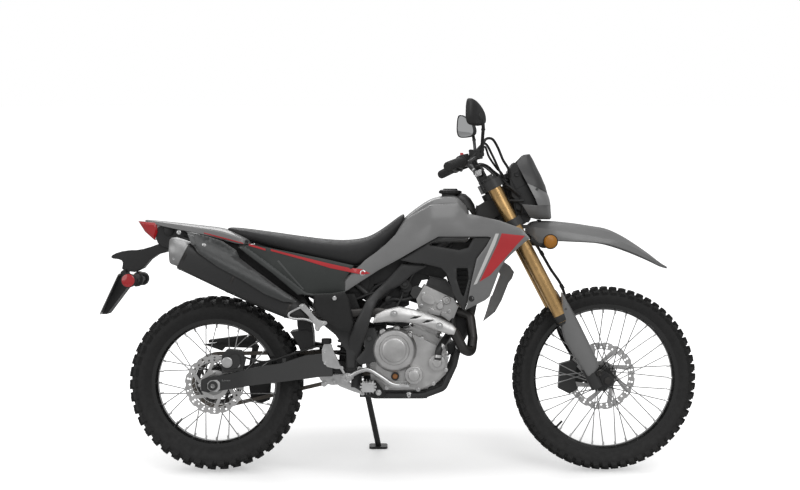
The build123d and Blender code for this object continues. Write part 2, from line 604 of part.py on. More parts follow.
with BuildPart() as rear_caliper:
    slab([(32, 372), (32, 440), (50, 460), (100, 455), (116, 420), (108, 382)], -60, -ARM_OUTER + 6)
    hub(REAR_AXLE, REAR_DISC_Y - 5, REAR_DISC_Y + 5, REAR_DISC_R + 4, mode=Mode.SUBTRACT)
    hub(REAR_AXLE, 0, REAR_DISC_Y + 5, REAR_DISC_R - 20, mode=Mode.SUBTRACT)
    cut(swingarm)

# ================================================================ controls at the feet, and the stand
with BuildPart() as foot_controls:
    for peg_side in (-1, 1):
        slab([(545, 320), (600, 320), (600, 338), (545, 338)], peg_side * 112, peg_side * 172)
        slab([(596, 284), (640, 284), (612, 334), (560, 334)], peg_side * CRADLE_HALF, peg_side * 112)
        tube([(400, peg_side * 88, 590), (330, peg_side * 100, 600), (290, peg_side * 160, 610)], 7, 20)
        slab([(325, 612), (340, 672), (404, 640), (420, 545), (396, 545)], peg_side * 77, peg_side * 92)
    tube([(500, -118, 356), (571, -122, 380), (660, -126, 334), (722, -126, 327)], 8, 30)
    slab([(405, 400), (398, 470), (400, 500), (437, 500), (440, 470), (475, 395), (470, 378)], -98, -122)
    rod((470, -98, 388), (500, -118, 356), 6)
    rod((500, -UPRIGHT_HALF - SPAR_R, 356), (500, -118, 356), 9)
    tube([(600, 114, 372), (680, 124, 372), (726, 124, 350), (726, 160, 350)], 7, 12)
    cut(frame, swingarm, subframe, chain, muffler, engine_cases, generator_cover)

FLOOR_RISE = math.tan(math.radians(LEAN))
TYRE_DROP = 2.8               # of the leaned tyres' lowest blocks below the upright floor line


def floor_z(y):
    """Height of the floor under the leaned machine, in its own upright frame."""
    return y * FLOOR_RISE - TYRE_DROP


with BuildPart() as side_stand:
    foot_z = floor_z(STAND_FOOT_Y)
    hinge = Vector(0, math.cos(math.radians(STAND_AXIS_TILT)), math.sin(math.radians(STAND_AXIS_TILT)))
    pin = Vector(STAND_PIVOT_X, STAND_PIVOT_Y, STAND_PIVOT_Z)
    rod(pin - hinge * STAND_EYE_HALF, pin + hinge * STAND_EYE_HALF, 17)
    rod(pin, (STAND_FOOT_X, STAND_FOOT_Y, foot_z + 8), STAND_LEG_R)
    floor_plane = Plane(
        origin=(STAND_FOOT_X, STAND_FOOT_Y, foot_z), x_dir=(1, 0, 0),
        z_dir=(0, -math.sin(math.radians(LEAN)), math.cos(math.radians(LEAN))),
    )
    with BuildSketch(floor_plane) as foot_face:
        RectangleRounded(72, 46, 12)
    extrude(to_extrude=foot_face.sketch, amount=9, dir=floor_plane.z_dir)
    rod(pin - hinge * 30, pin + hinge * 30, STAND_PIN_R + RUNNING_GAP, mode=Mode.SUBTRACT)
    below = Plane(origin=floor_plane.origin, x_dir=(1, 0, 0), z_dir=-floor_plane.z_dir)
    with BuildSketch(below) as under_face:
        Rectangle(200, 200)
    extrude(to_extrude=under_face.sketch, amount=40, dir=below.z_dir, mode=Mode.SUBTRACT)

with BuildPart() as stand_bracket:
    rod(pin - hinge * (STAND_EYE_HALF + 8), pin + hinge * (STAND_EYE_HALF + 3), STAND_PIN_R)
    slab([(535, 262), (590, 262), (600, 300), (535, 312)], CRADLE_HALF - 4, STAND_PIVOT_Y - 22)
    rod(pin - hinge * (STAND_EYE_HALF + 20), pin - hinge * (STAND_EYE_HALF + RUNNING_GAP), 14)
    cut(frame, swingarm, engine_cases, chain, foot_controls)

# ================================================================ tank, seat and panels
# rows of x, low z, high z, half width, corner radius
TANK_SECTIONS = [
    (640, 800, 868, 54, 24), (700, 830, 944, 62, 30), (800, 842, 1014, 76, 38), (896, 850, 1024, 92, 44),
    (952, 852, 984, 90, 40),
]
SEAT_SECTIONS = [
    (62, 886, 912, 58, 11), (130, 872, 906, 88, 15), (300, 826, 881, SEAT_HALF, 20),
    (430, 800, 864, SEAT_HALF - 4, 20), (530, 776, 867, 84, 22), (610, 832, 893, 66, 24),
    (704, 944, 964, 46, 9),
]
with BuildPart() as seat:
    body(SEAT_SECTIONS)
    cut(subframe)

with BuildPart() as fuel_tank:
    body(TANK_SECTIONS)
    cut(frame, seat, cylinder, subframe, radiator)

CAP = Vector(878, 0, 1016)
with BuildPart() as tank_cap:
    rod(CAP, CAP + Vector(0, 0, 30), 37)
    rod(CAP + Vector(0, 0, 30), CAP + Vector(0, 0, 37), 27)
    slab([(908, 985), (908, 1024), (946, 1012), (966, 980), (968, 966)], -52, 52)
    cut(fuel_tank)

# Side outlines of the big panels, in (x, z)
SHROUD = [
    (717, 946), (760, 971), (802, 994), (903, 1002), (937, 961), (1053, 936), (1134, 905), (1162, 872),
    (1128, 843), (1073, 790), (1040, 720), (1017, 658), (1001, 644), (926, 606), (947, 696), (970, 796),
    (1005, 843), (1022, 877), (830, 877), (754, 834), (689, 796), (613, 755), (487, 673), (481, 714),
    (543, 772), (601, 819), (672, 884), (695, 916),
]
KNEE_PANEL = [
    (689, 790), (774, 846), (830, 880), (1011, 880), (1034, 872), (970, 796), (947, 696), (926, 606),
    (917, 611), (894, 650), (876, 696), (859, 743), (841, 761), (777, 777), (730, 781),
]
UPPER_WINDOW = [(795, 846), (830, 866), (958, 870), (940, 836), (906, 827)]
LOWER_WINDOW = [(897, 761), (938, 761), (941, 720), (923, 656), (914, 667), (897, 720)]
# rows of x, then half width and height at a panel's crest, at its belt and at its foot
PANEL_ROWS = [
    (470, 122, 830, 125, 760, 126, 560), (640, 92, 920, 116, 826, 124, 560),
    (715, 64, 952, 102, 900, 128, 560), (802, 80, 1002, 124, 936, 138, 560),
    (903, 98, 1006, 138, 936, 150, 560), (990, 136, 956, 150, 915, 160, 560),
    (1060, 160, 950, 168, 900, 172, 560), (1170, 187, 920, 190, 870, 191, 560),
]
PANEL_WALL = 9
INNER_STEP = 8                # of the inner panels behind the outer ones


def formed_panels(outline, step, windows=()):
    """A pair of formed panels that follow the machine's flanks, this far inside the outer face."""
    faces = []
    for x, crest_half, crest_z, belt_half, belt_z, foot_half, foot_z in PANEL_ROWS:
        outer = [(crest_half - step, crest_z), (belt_half - step, belt_z), (foot_half - step, foot_z)]
        inner = [(half - PANEL_WALL, z) for half, z in reversed(outer)]
        with BuildSketch(Plane.YZ.offset(x)) as panel_face:
            Polygon(*[(-half, z) for half, z in outer + inner], align=None)
        faces.append(panel_face.sketch)
    loft(sections=faces, ruled=True)
    slab(outline, 0, -300, mode=Mode.INTERSECT)
    for window in windows:
        slab(window, 0, -300, mode=Mode.SUBTRACT)
    mirror(about=Plane.XZ)


with BuildPart() as shrouds:
    formed_panels(SHROUD, 0)
    cut(fuel_tank, frame, seat)

with BuildPart() as knee_panels:
    formed_panels(KNEE_PANEL, INNER_STEP, (UPPER_WINDOW, LOWER_WINDOW))
    cut(fuel_tank, frame, shrouds, seat, radiator, subframe, cylinder)

SIDE_COVER = [
    (89, 842), (146, 846), (300, 816), (432, 789), (517, 769), (481, 714), (487, 673), (440, 664), (370, 662),
    (340, 667), (300, 698), (129, 828),
]
with BuildPart() as side_covers:
    tilted_slab(SIDE_COVER, 80, -118, 520, -124, 26)
    mirror(about=Plane.XZ)
    cut(seat, subframe, knee_panels, shrouds, muffler, exhaust_shields, foot_controls, frame)

# rows of x, low z, high z, half width, corner radius
TAIL_SECTIONS = [
    (-251, 930, 941, 26, 5), (-150, 912, 934, 62, 10), (-30, 882, 922, 96, 16), (56, 880, 911, TAIL_HALF, 14),
]
with BuildPart() as tail_cowl:
    body(TAIL_SECTIONS)
    slab([(-90, 896), (60, 884), (140, 868), (146, 846), (89, 846), (-34, 872)], -TAIL_HALF, TAIL_HALF)
    slab([(-60, 820), (200, 780), (200, 905), (-60, 893)], -88, 88, mode=Mode.SUBTRACT)
    cut(seat, subframe, side_covers, muffler, exhaust_shields)

# ---------------------------------------------------------------- tail light, plate and rear lamps
PLATE_TOP, PLATE_FOOT = Vector(-352, 0, 742), Vector(-426, 0, 583)
PLATE_THICK = 2
with BuildPart() as rear_fender:
    slab([
        (-90, 888), (-150, 905), (-200, 912), (-214, 862), (-209, 842), (-271, 826), (-326, 825), (-370, 811),
        (-378, 797), (-336, 792), (-334, 752), (-352, 742), (-426, 583), (-404, 583), (-326, 690),
        (-300, 712), (-271, 743), (-217, 808), (-155, 822), (-110, 850),
    ], -40, 40)
    slab([(-292, 706), (-292, 724), (-330, 724), (-322, 700)], -100, 100)
    slab([
        (324, 452), (316, 500), (302, 560), (310, 640), (318, 700), (332, 700), (326, 620),
        (366, 548), (366, 452),
    ], -64, 64)
    cut(tail_cowl, subframe, seat, shock, swingarm, intake)

with BuildPart() as tail_light:
    slab([(-204, 930), (-268, 934), (-248, 895), (-214, 864), (-202, 892)], -48, 48)
    cut(rear_fender, tail_cowl)

with BuildPart() as licence_plate:
    plate_run = PLATE_FOOT - PLATE_TOP
    rearward = Vector(plate_run.Z, 0, -plate_run.X).normalized()
    plate_plane = Plane(origin=(PLATE_TOP + PLATE_FOOT) * 0.5, x_dir=(0, 1, 0), z_dir=rearward)
    with BuildSketch(plate_plane) as plate_face:
        RectangleRounded(PLATE_WIDTH, plate_run.length - 8, 10)
    extrude(to_extrude=plate_face.sketch, amount=PLATE_THICK, dir=rearward)

with BuildPart() as rear_signals:
    for lamp_side in (-1, 1):
        rod((-284, lamp_side * 100, 716), (-284, lamp_side * 118, 716), 26)
        rod((-312, lamp_side * 118, 715), (-312, lamp_side * 124, 715), 26)

# ================================================================ steering body
BAR_MIDDLE = STEERING.from_local_coords((4, 0, TOP_CLAMP + 38))
BAR_BEND = Vector(948, 180, 1165)
BAR_END = Vector(855, BAR_HALF, 1123)
GRIP_LENGTH = 124
bar_route = [
    (BAR_END.X, -BAR_END.Y, BAR_END.Z), (BAR_BEND.X, -BAR_BEND.Y, BAR_BEND.Z),
    (BAR_MIDDLE.X, -76, BAR_MIDDLE.Z), (BAR_MIDDLE.X, 76, BAR_MIDDLE.Z),
    (BAR_BEND.X, BAR_BEND.Y, BAR_BEND.Z), (BAR_END.X, BAR_END.Y, BAR_END.Z),
]
with BuildPart() as handlebar:
    tube(bar_route, BAR_R, 45)


def along_bar(bar_side, y):
    """The bar's middle line at this distance out, on one side."""
    share = (y - BAR_BEND.Y) / (BAR_END.Y - BAR_BEND.Y)
    point = BAR_BEND + (BAR_END - BAR_BEND) * share
    return Vector(point.X, bar_side * point.Y, point.Z)


with BuildPart() as triple_clamps:
    low_clamp_up = HEAD_LOW - CLAMP_GAP - LOW_CLAMP
    for clamp_up, thick in ((0, TOP_CLAMP), (low_clamp_up, LOW_CLAMP)):
        with BuildSketch(STEERING.offset(clamp_up)) as clamp_face:
            with Locations((FORK_OFFSET, FORK_HALF), (FORK_OFFSET, -FORK_HALF)):
                Circle(OUTER_TUBE_R + 11)
            with Locations((8, 0)):
                RectangleRounded(62, 2 * FORK_HALF, 20)
        extrude(to_extrude=clamp_face.sketch, amount=thick, dir=STEERING.z_dir)
        with BuildSketch(STEERING.offset(clamp_up)) as leg_holes:
            with Locations((FORK_OFFSET, FORK_HALF), (FORK_OFFSET, -FORK_HALF)):
                Circle(OUTER_TUBE_R)
        extrude(to_extrude=leg_holes.sketch, amount=thick, dir=STEERING.z_dir, mode=Mode.SUBTRACT)
    stem_foot = STEERING.from_local_coords((0, 0, low_clamp_up))
    rod(stem_foot, STEERING.from_local_coords((0, 0, TOP_CLAMP + 6)), STEM_R)
    rod(stem_foot - STEERING.z_dir, stem_foot + STEERING.z_dir * 40, 8, mode=Mode.SUBTRACT)
    with BuildSketch(STEERING.offset(TOP_CLAMP)) as riser_face:
        with Locations((4, 38), (4, -38)):
            RectangleRounded(34, 26, 6)
    extrude(to_extrude=riser_face.sketch, amount=54, dir=STEERING.z_dir)
    cut(handlebar)

with BuildPart() as grips:
    for bar_side in (-1, 1):
        rod(along_bar(bar_side, BAR_HALF - GRIP_LENGTH), along_bar(bar_side, BAR_HALF + 3), GRIP_R)
        rod(along_bar(bar_side, BAR_HALF - GRIP_LENGTH - 4), along_bar(bar_side, BAR_HALF - GRIP_LENGTH), 21)
    cut(handlebar)

with BuildPart() as bar_controls:
    for bar_side in (-1, 1):
        rod(along_bar(bar_side, 252), along_bar(bar_side, 281), 24)
        rod(along_bar(bar_side, 218), along_bar(bar_side, 240), 17)
        tube([
            tuple(along_bar(bar_side, 228)), (972, bar_side * 236, 1148), (968, bar_side * 262, 1140),
            (920, bar_side * 392, 1108),
        ], 6, 10)
        rod((920, bar_side * 388, 1108), (918, bar_side * 400, 1107), 9)
    with BuildSketch(Plane.XY.offset(1158)) as reservoir_face:
        with Locations((958, -222)):
            RectangleRounded(36, 46, 8)
    extrude(to_extrude=reservoir_face.sketch, amount=30)
    cut(handlebar, grips)

MIRROR_YAW = 32
MIRROR_U = Vector(math.sin(math.radians(MIRROR_YAW)), math.cos(math.radians(MIRROR_YAW)), 0)
MIRROR_BACK = Vector(math.cos(math.radians(MIRROR_YAW)), -math.sin(math.radians(MIRROR_YAW)), 0)
MIRROR_FACE = Plane(origin=(966, -360, 0), x_dir=MIRROR_U, z_dir=(MIRROR_U.Y, -MIRROR_U.X, 0))
with BuildPart() as mirrors:
    with BuildSketch(MIRROR_FACE) as mirror_face:
        Polygon((-57, 1378), (-38, 1386), (4, 1371), (48, 1342), (62, 1312), (52, 1290), (-40, 1288), (-60, 1304),
                (-64, 1332))
    extrude(to_extrude=mirror_face.sketch, amount=26, dir=MIRROR_BACK)
    tube([
        tuple(along_bar(-1, 230)), (968, -236, 1182), (988, -290, 1235), (987, -338, 1300), (985, -352, 1328),
    ], 5, 14)
    mirror(about=Plane.XZ)
    cut(handlebar, bar_controls)

with BuildPart() as fork_tubes:
    for leg in (-FORK_HALF, FORK_HALF):
        rod(STEERING.from_local_coords((FORK_OFFSET, leg, -OUTER_TUBE_END)),
            STEERING.from_local_coords((FORK_OFFSET, leg, TOP_CLAMP + 8)), OUTER_TUBE_R)

with BuildPart() as fork_legs:
    for leg_side in (-1, 1):
        leg = leg_side * FORK_HALF
        socket_foot = STEERING.from_local_coords((FORK_OFFSET, leg, -AXLE_DROP - 8))
        rod(STEERING.from_local_coords((FORK_OFFSET, leg, -SOCKET_TOP)),
            STEERING.from_local_coords((FORK_OFFSET, leg, -OUTER_TUBE_END)), INNER_TUBE_R)
        rod(STEERING.from_local_coords((FORK_OFFSET, leg, -SOCKET_TOP)), socket_foot, INNER_TUBE_R + 5)
        hub(FRONT_AXLE, leg - leg_side * 17, leg + leg_side * 15, 24)
        slab([
            (1395, 360), (1433, 385), (FRONT_AXLE.X + 12, FRONT_AXLE.Z + 21),
            (FRONT_AXLE.X + 4, FRONT_AXLE.Z - 24), (1423, 305),
        ], leg - leg_side * 15, leg + leg_side * 13)
    hub(FRONT_AXLE, -FORK_HALF - 20, FORK_HALF + 18, AXLE_R - RUNNING_GAP)
    hub(FRONT_AXLE, -FORK_HALF - 15, -FORK_HALF - 21, 13)
    for spacer_side in (-1, 1):
        disc_face = FRONT_DISC_Y + DISC_THICK / 2 + SIDE_GAP
        hub(FRONT_AXLE, spacer_side * disc_face, spacer_side * (FORK_HALF - 17), 15)
    hub(FRONT_AXLE, -FORK_HALF - 21, -FORK_HALF - 21 + AXLE_BORE_DEPTH, AXLE_BORE_R, mode=Mode.SUBTRACT)

FORK_GUARD = [
    (1288, 674), (1343, 579), (1390, 484), (1433, 392), (1400, 372), (1378, 362), (1305, 470), (1281, 526),
    (1284, 621), (1281, 669),
]
with BuildPart() as fork_guards:
    for guard_side in (-1, 1):
        slab(FORK_GUARD, guard_side * 78, guard_side * 126)
        rod(STEERING.from_local_coords((FORK_OFFSET, guard_side * FORK_HALF, -SOCKET_TOP)),
            STEERING.from_local_coords((FORK_OFFSET, guard_side * FORK_HALF, -OUTER_TUBE_END + 80)),
            INNER_TUBE_R + 1, mode=Mode.SUBTRACT)
    cut(fork_legs, fork_tubes)

with BuildPart() as front_caliper:
    slab([(1290, 300), (1296, 392), (1345, 406), (1372, 384), (1368, 300), (1332, 279)], 42, 82)
    slab([(1344, 300), (1410, 330), (1410, 372), (1350, 392)], 74, 100)
    hub(FRONT_AXLE, FRONT_DISC_Y - 4, FRONT_DISC_Y + 4, FRONT_DISC_R + 4, mode=Mode.SUBTRACT)
    hub(FRONT_AXLE, 0, FRONT_DISC_Y + 4, FRONT_DISC_R - 26, mode=Mode.SUBTRACT)
    cut(fork_legs, fork_guards)

# rows of height, rear x, front x, half width, corner radius
MASK_SECTIONS = [
    (942, 1166, 1250, 44, 18), (976, 1146, 1248, 84, 24), (1008, 1140, 1243, 106, 24),
    (1045, 1148, 1232, 110, 24),
    (1106, 1140, 1208, 94, 20), (1150, 1122, 1189, 70, 18), (1184, 1148, 1170, 34, 8),
]
LENS_PROUD = 7
with BuildPart() as headlight_mask:
    mask_faces = []
    for height, rear, front, half, corner in MASK_SECTIONS:
        with BuildSketch(Plane.XY.offset(height)) as mask_face:
            with Locations(((rear + front) / 2, 0)):
                RectangleRounded(front - rear, 2 * half, corner)
        mask_faces.append(mask_face.sketch)
    loft(sections=mask_faces)

with BuildPart() as headlight_lens:
    lens_faces = []
    for height, rear, front, half, corner in MASK_SECTIONS[:4]:
        with BuildSketch(Plane.XY.offset(height + 4)) as lens_face:
            with Locations(((rear + front) / 2 + LENS_PROUD, 0)):
                RectangleRounded(front - rear, 1.24 * half, 10)
        lens_faces.append(lens_face.sketch)
    loft(sections=lens_faces)
    cut(headlight_mask)
    slab([(1100, 900), (1196, 900), (1196, 1200), (1100, 1200)], -150, 150, mode=Mode.SUBTRACT)

with BuildPart() as instrument:
    slab([(1078, 1092), (1084, 1140), (1122, 1166), (1150, 1150), (1160, 1040), (1118, 1034)], -62, 62)
    for stay in (-42, 42):
        rod(STEERING.from_local_coords((30, stay, 16)), (1110, stay, 1090), 8)
    cut(headlight_mask, triple_clamps)

# rows of x, crown z, half width, side depth
FENDER_SECTIONS = [
    (1168, 930, 46, 52), (1252, 934, 70, 70), (1343, 926, 80, 66), (1447, 910, 74, 54), (1552, 863, 58, 34),
    (1612, 821, 44, 22), (1692, 761, 22, 8),
]
with BuildPart() as front_fender:
    hood(FENDER_SECTIONS, 4)
    slab([(1092, 884), (1112, 905), (1118, 950), (1170, 930), (1250, 925), (1250, 904), (1130, 880)], -26, 26)
    cut(triple_clamps, headlight_mask)

with BuildPart() as front_signals:
    for lamp_side in (-1, 1):
        tube([
            (1148, lamp_side * 104, 862), (1200, lamp_side * 112, 846), (1238, lamp_side * 126, 858),
        ], 6, 20)
        rod((1243, lamp_side * 112, 858), (1243, lamp_side * 132, 858), 28)
        rod((1243, lamp_side * 130, 858), (1243, lamp_side * 138, 858), 24)
    cut(fork_tubes, front_fender)

HOSE_R = 4
with BuildPart() as brake_hose:
    tube([
        (974, -206, 1180), (1010, -170, 1222), (1062, -120, 1232), (1104, -70, 1196), (1122, -20, 1120),
    ], HOSE_R, 30)
    tube([
        (1112, 50, 916), (1190, 50, 868), (1228, 54, 800), (1300, 64, 690), (1332, 64, 560), (1346, 68, 470),
        (1344, 70, 402),
    ], HOSE_R, 60)
    cut(
        bar_controls, instrument, headlight_mask, triple_clamps, front_fender, front_caliper, fork_guards,
        fork_tubes, mirrors,
    )

with BuildPart() as control_cables:
    tube([
        (980, 220, 1150), (1016, 186, 1182), (1062, 130, 1206), (1100, 80, 1180), (1112, 40, 1130),
    ], HOSE_R, 30)
    tube([
        (936, -262, 1160), (990, -230, 1226), (1050, -130, 1250), (1098, -50, 1210), (1116, 16, 1140),
    ], HOSE_R, 30)
    cut(bar_controls, instrument, headlight_mask, triple_clamps, brake_hose, mirrors)


# ================================================================ parked on the stand, and written
PIECES = {
    "frame": frame, "subframe": subframe, "engine_cases": engine_cases, "clutch_cover": clutch_cover,
    "generator_cover": generator_cover, "cylinder": cylinder, "intake": intake,
    "exhaust_pipe": exhaust_pipe, "muffler": muffler, "exhaust_shields": exhaust_shields,
    "radiator": radiator, "swingarm": swingarm, "shock": shock, "chain": chain, "chain_guard": chain_guard,
    "rear_caliper": rear_caliper, "foot_controls": foot_controls, "stand_bracket": stand_bracket,
    "seat": seat, "fuel_tank": fuel_tank, "tank_cap": tank_cap, "shrouds": shrouds,
    "knee_panels": knee_panels, "side_covers": side_covers, "tail_cowl": tail_cowl,
    "rear_fender": rear_fender, "tail_light": tail_light, "licence_plate": licence_plate,
    "rear_signals": rear_signals, "triple_clamps": triple_clamps, "handlebar": handlebar, "grips": grips,
    "bar_controls": bar_controls, "mirrors": mirrors, "fork_tubes": fork_tubes, "fork_legs": fork_legs,
    "fork_guards": fork_guards, "front_caliper": front_caliper, "headlight_mask": headlight_mask,
    "headlight_lens": headlight_lens, "instrument": instrument, "front_fender": front_fender,
    "front_signals": front_signals, "brake_hose": brake_hose, "control_cables": control_cables,
    "front_tyre": front_tyre, "front_rim": front_rim, "front_hub": front_hub, "front_disc": front_disc,
    "rear_tyre": rear_tyre, "rear_rim": rear_rim, "rear_hub": rear_hub, "rear_disc": rear_disc,
    "rear_sprocket": rear_sprocket, "side_stand": side_stand,
}
LEANED = Location((0, 0, 0), (-LEAN, 0, 0))
outer_box = Compound(children=[piece.part.moved(LEANED) for piece in PIECES.values()]).bounding_box()
PARKED = Location((-outer_box.center().X, -outer_box.center().Y, -outer_box.min.Z)) * LEANED


def parked(part):
    """The finished piece, leaned over with the rest of the machine and put above the origin."""
    return part.moved(PARKED)


CRUMB = 100                   # mm3: a neighbour's cut leaves loose crumbs smaller than this
for name, piece in PIECES.items():
    bodies = [solid for solid in piece.part.solids() if solid.volume > CRUMB]
    leaned = parked(bodies[0] if len(bodies) == 1 else Compound(bodies))
    leaned.label = name
    export_step(leaned, f"parts/{name}.step")
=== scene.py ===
import bmesh
import bpy
import json
import math
import numpy
from mathutils import Matrix, Vector
from mathutils.geometry import delaunay_2d_cdt


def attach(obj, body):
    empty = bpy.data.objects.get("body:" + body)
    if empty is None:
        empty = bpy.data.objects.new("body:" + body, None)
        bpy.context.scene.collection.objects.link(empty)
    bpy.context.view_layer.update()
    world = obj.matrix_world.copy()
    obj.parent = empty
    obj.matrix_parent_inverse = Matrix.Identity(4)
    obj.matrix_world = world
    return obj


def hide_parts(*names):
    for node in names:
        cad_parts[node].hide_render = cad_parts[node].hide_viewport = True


# The looks of a light dual sport motorcycle that leans on its side stand.
# Shapes are written in the upright machine's own millimetres: +X forward, +Y to its left, +Z up, the rear
# axle above x = 0 and the road at z = 0. BIKE takes them to the leaning machine in the row's frame.

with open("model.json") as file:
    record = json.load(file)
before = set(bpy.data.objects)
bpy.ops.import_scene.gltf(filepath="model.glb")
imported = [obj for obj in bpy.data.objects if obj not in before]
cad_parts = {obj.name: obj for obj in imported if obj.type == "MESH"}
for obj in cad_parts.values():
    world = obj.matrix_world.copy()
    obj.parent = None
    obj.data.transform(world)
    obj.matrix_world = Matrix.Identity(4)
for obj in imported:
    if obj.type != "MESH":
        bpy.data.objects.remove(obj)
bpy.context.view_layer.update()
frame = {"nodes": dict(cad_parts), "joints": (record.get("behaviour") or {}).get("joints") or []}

# ================================================================ the leaning machine
JOINTS = {joint["name"]: joint for joint in frame["joints"]}
REAR_AXLE_Z = 327.0
FRONT_AXLE_X, FRONT_AXLE_Z = 1455.0, 345.0
RAKE = math.radians(27.5)
HEAD_X, HEAD_Z = 1020.0, 1045.0
FORK_OFFSET, FORK_HALF = 21.3, 97.0
MM = 0.001
EYE_X, EYE_AWAY, EYE_Z = 689.0, 5600.0, 919.4   # the camera's place
LENS, LENS_SHIFT = 66.93, -0.025
PANEL_Y = 130                # the side panels' plane, out from the middle
TO_MIDDLE = 1.018            # growth of a side view moved from 100 mm out to the middle
AMBIENT, BACKDROP = 0.42, 1.0   # strengths of the world's light, and of the world as the camera sees it

across = Vector(JOINTS["rear_spin"]["axis"])
LEAN = math.atan2(-across.z, across.y)
UPRIGHT_TO_ROW = Matrix.Rotation(-LEAN, 4, "X")
rear_hub_place = Vector(JOINTS["rear_spin"]["pos_m"])
BIKE = (
    Matrix.Translation(rear_hub_place - UPRIGHT_TO_ROW @ Vector((0, 0, REAR_AXLE_Z * MM)))
    @ UPRIGHT_TO_ROW @ Matrix.Scale(MM, 4)
)
REAR_AXLE = Vector((0, 0, REAR_AXLE_Z))
FRONT_AXLE = Vector((FRONT_AXLE_X, 0, FRONT_AXLE_Z))
X, Y, Z = Vector((1, 0, 0)), Vector((0, 1, 0)), Vector((0, 0, 1))
RIGHT, LEFT, BACK = Vector((0, -1, 0)), Vector((0, 1, 0)), Vector((-1, 0, 0))
STEER_UP = Vector((-math.sin(RAKE), 0, math.cos(RAKE)))
STEER_FORWARD = Vector((math.cos(RAKE), 0, math.sin(RAKE)))


def steer(forward, left, up):
    """A point of the steering frame, in upright millimetres."""
    return Vector((HEAD_X, 0, HEAD_Z)) + STEER_FORWARD * forward + Y * left + STEER_UP * up


def to_middle(x, z):
    """A point of the plane 100 mm out, moved to the machine's middle along the line of sight."""
    return EYE_X + (x - EYE_X) * TO_MIDDLE, EYE_Z + (z - EYE_Z) * TO_MIDDLE


def off_side(x, y, z):
    """A point of the side panels' plane, moved to its own distance from the eye."""
    share = (1 - abs(y) / EYE_AWAY) / (1 - PANEL_Y / EYE_AWAY)
    return Vector((EYE_X + (x - EYE_X) * share, y, EYE_Z + (z - EYE_Z) * share))


def around(count, start=0.0):
    """Angles evenly spaced round a full turn."""
    return [2 * math.pi * (k + start) / count for k in range(count)]


def outward(angle):
    """The direction out from an axle at this angle, in the plane of the wheel."""
    return X * math.cos(angle) + Z * math.sin(angle)


# ================================================================ shader maths
class Field:
    """A number or colour that varies over a surface: a socket that can be multiplied."""

    def __init__(self, finish, socket):
        self.finish = finish
        self.socket = socket

    def __mul__(self, other):
        return self.finish.node("ShaderNodeMath", {"operation": "MULTIPLY"}, [self, other])

    __rmul__ = __mul__


class Finish:
    """One material: a principled surface, and the nodes that vary it."""

    def __init__(self, name, colour, roughness, metallic=0.0, **settings):
        self.material = bpy.data.materials.new(name)
        self.material.use_nodes = True
        self.tree = self.material.node_tree
        self.surface = self.tree.nodes["Principled BSDF"]
        self.set(**{"Base Color": (*colour, 1), "Roughness": roughness, "Metallic": metallic})
        self.set(**{key.replace("_", " "): value for key, value in settings.items()})

    def set(self, **sockets):
        for name, value in sockets.items():
            self.put(self.surface.inputs[name], value)
        return self

    def put(self, socket, value):
        if isinstance(value, Field):
            self.tree.links.new(value.socket, socket)
        elif isinstance(value, tuple) and len(value) == 3 and socket.type == "RGBA":
            socket.default_value = (*value, 1)
        else:
            socket.default_value = value

    def node(self, kind, settings=None, inputs=None, out=0):
        made = self.tree.nodes.new(kind)
        for name, value in (settings or {}).items():
            if name == "stops":
                while len(made.color_ramp.elements) < len(value):
                    made.color_ramp.elements.new(0.5)
                for element, (at, colour) in zip(made.color_ramp.elements, value):
                    element.position = at
                    element.color = (*colour, 1) if len(colour) == 3 else colour
            else:
                setattr(made, name, value)
        pairs = inputs.items() if isinstance(inputs, dict) else enumerate(inputs or [])
        for key, value in pairs:
            self.put(made.inputs[key], value)
        return Field(self, made.outputs[out])

    def place(self):
        return self.node("ShaderNodeTexCoord", out="Object")

    def noise(self, scale, detail=4.0, roughness=0.55, stretch=None):
        where = self.place()
        if stretch:
            where = self.node("ShaderNodeMapping", {}, {"Vector": where, "Scale": stretch})
        return self.node("ShaderNodeTexNoise", {}, {
            "Vector": where, "Scale": scale, "Detail": detail, "Roughness": roughness,
        })

    def mix(self, amount, first, second):
        return self.node("ShaderNodeMix", {"data_type": "RGBA"}, {0: amount, 6: first, 7: second}, out=2)

    def span(self, value, low, high, to_low=0.0, to_high=1.0):
        return self.node("ShaderNodeMapRange", {}, {
            "Value": value, "From Min": low, "From Max": high, "To Min": to_low, "To Max": to_high,
        })

    def edges(self, low=0.5, high=0.62):
        """1 on worn convex edges, 0 elsewhere."""
        return self.span(self.node("ShaderNodeNewGeometry", out="Pointiness"), low, high)

    def bump(self, height, distance, strength=1.0):
        normal = self.node("ShaderNodeBump", {}, {
            "Height": height, "Distance": distance, "Strength": strength,
        })
        return self.set(Normal=normal)


def grained(name, colour, roughness, grain, depth, worn=None, **settings):
    """Moulded plastic or paint: a fine grain, a slow drift of colour and, where asked, worn edges."""
    made = Finish(name, colour, roughness, **settings)
    drift = made.noise(9.0, 3.0)
    pale = tuple(min(1, c * 1.18 + 0.004) for c in colour)
    dark = tuple(c * 0.86 for c in colour)
    shade = made.mix(drift, dark, pale)
    if worn:
        shade = made.mix(made.edges() * 0.55, shade, worn)
    made.set(**{"Base Color": shade})
    made.set(Roughness=made.span(made.noise(46.0, 5.0), 0.3, 0.7, roughness - 0.05, roughness + 0.06))
    return made.bump(made.noise(grain, 2.0), depth, 0.5)


def metal(name, colour, roughness, grain, depth, stretch=None, **settings):
    """Bare metal: brushed or cast grain, with dulled patches."""
    made = Finish(name, colour, roughness, 1.0, **settings)
    patches = made.noise(14.0, 5.0)
    dark = tuple(c * 0.72 for c in colour)
    made.set(**{"Base Color": made.mix(made.span(patches, 0.35, 0.7), colour, dark)})
    made.set(Roughness=made.span(made.noise(70.0, 4.0), 0.3, 0.7, roughness - 0.06, roughness + 0.08))
    return made.bump(made.noise(grain, 3.0, stretch=stretch), depth, 0.6)


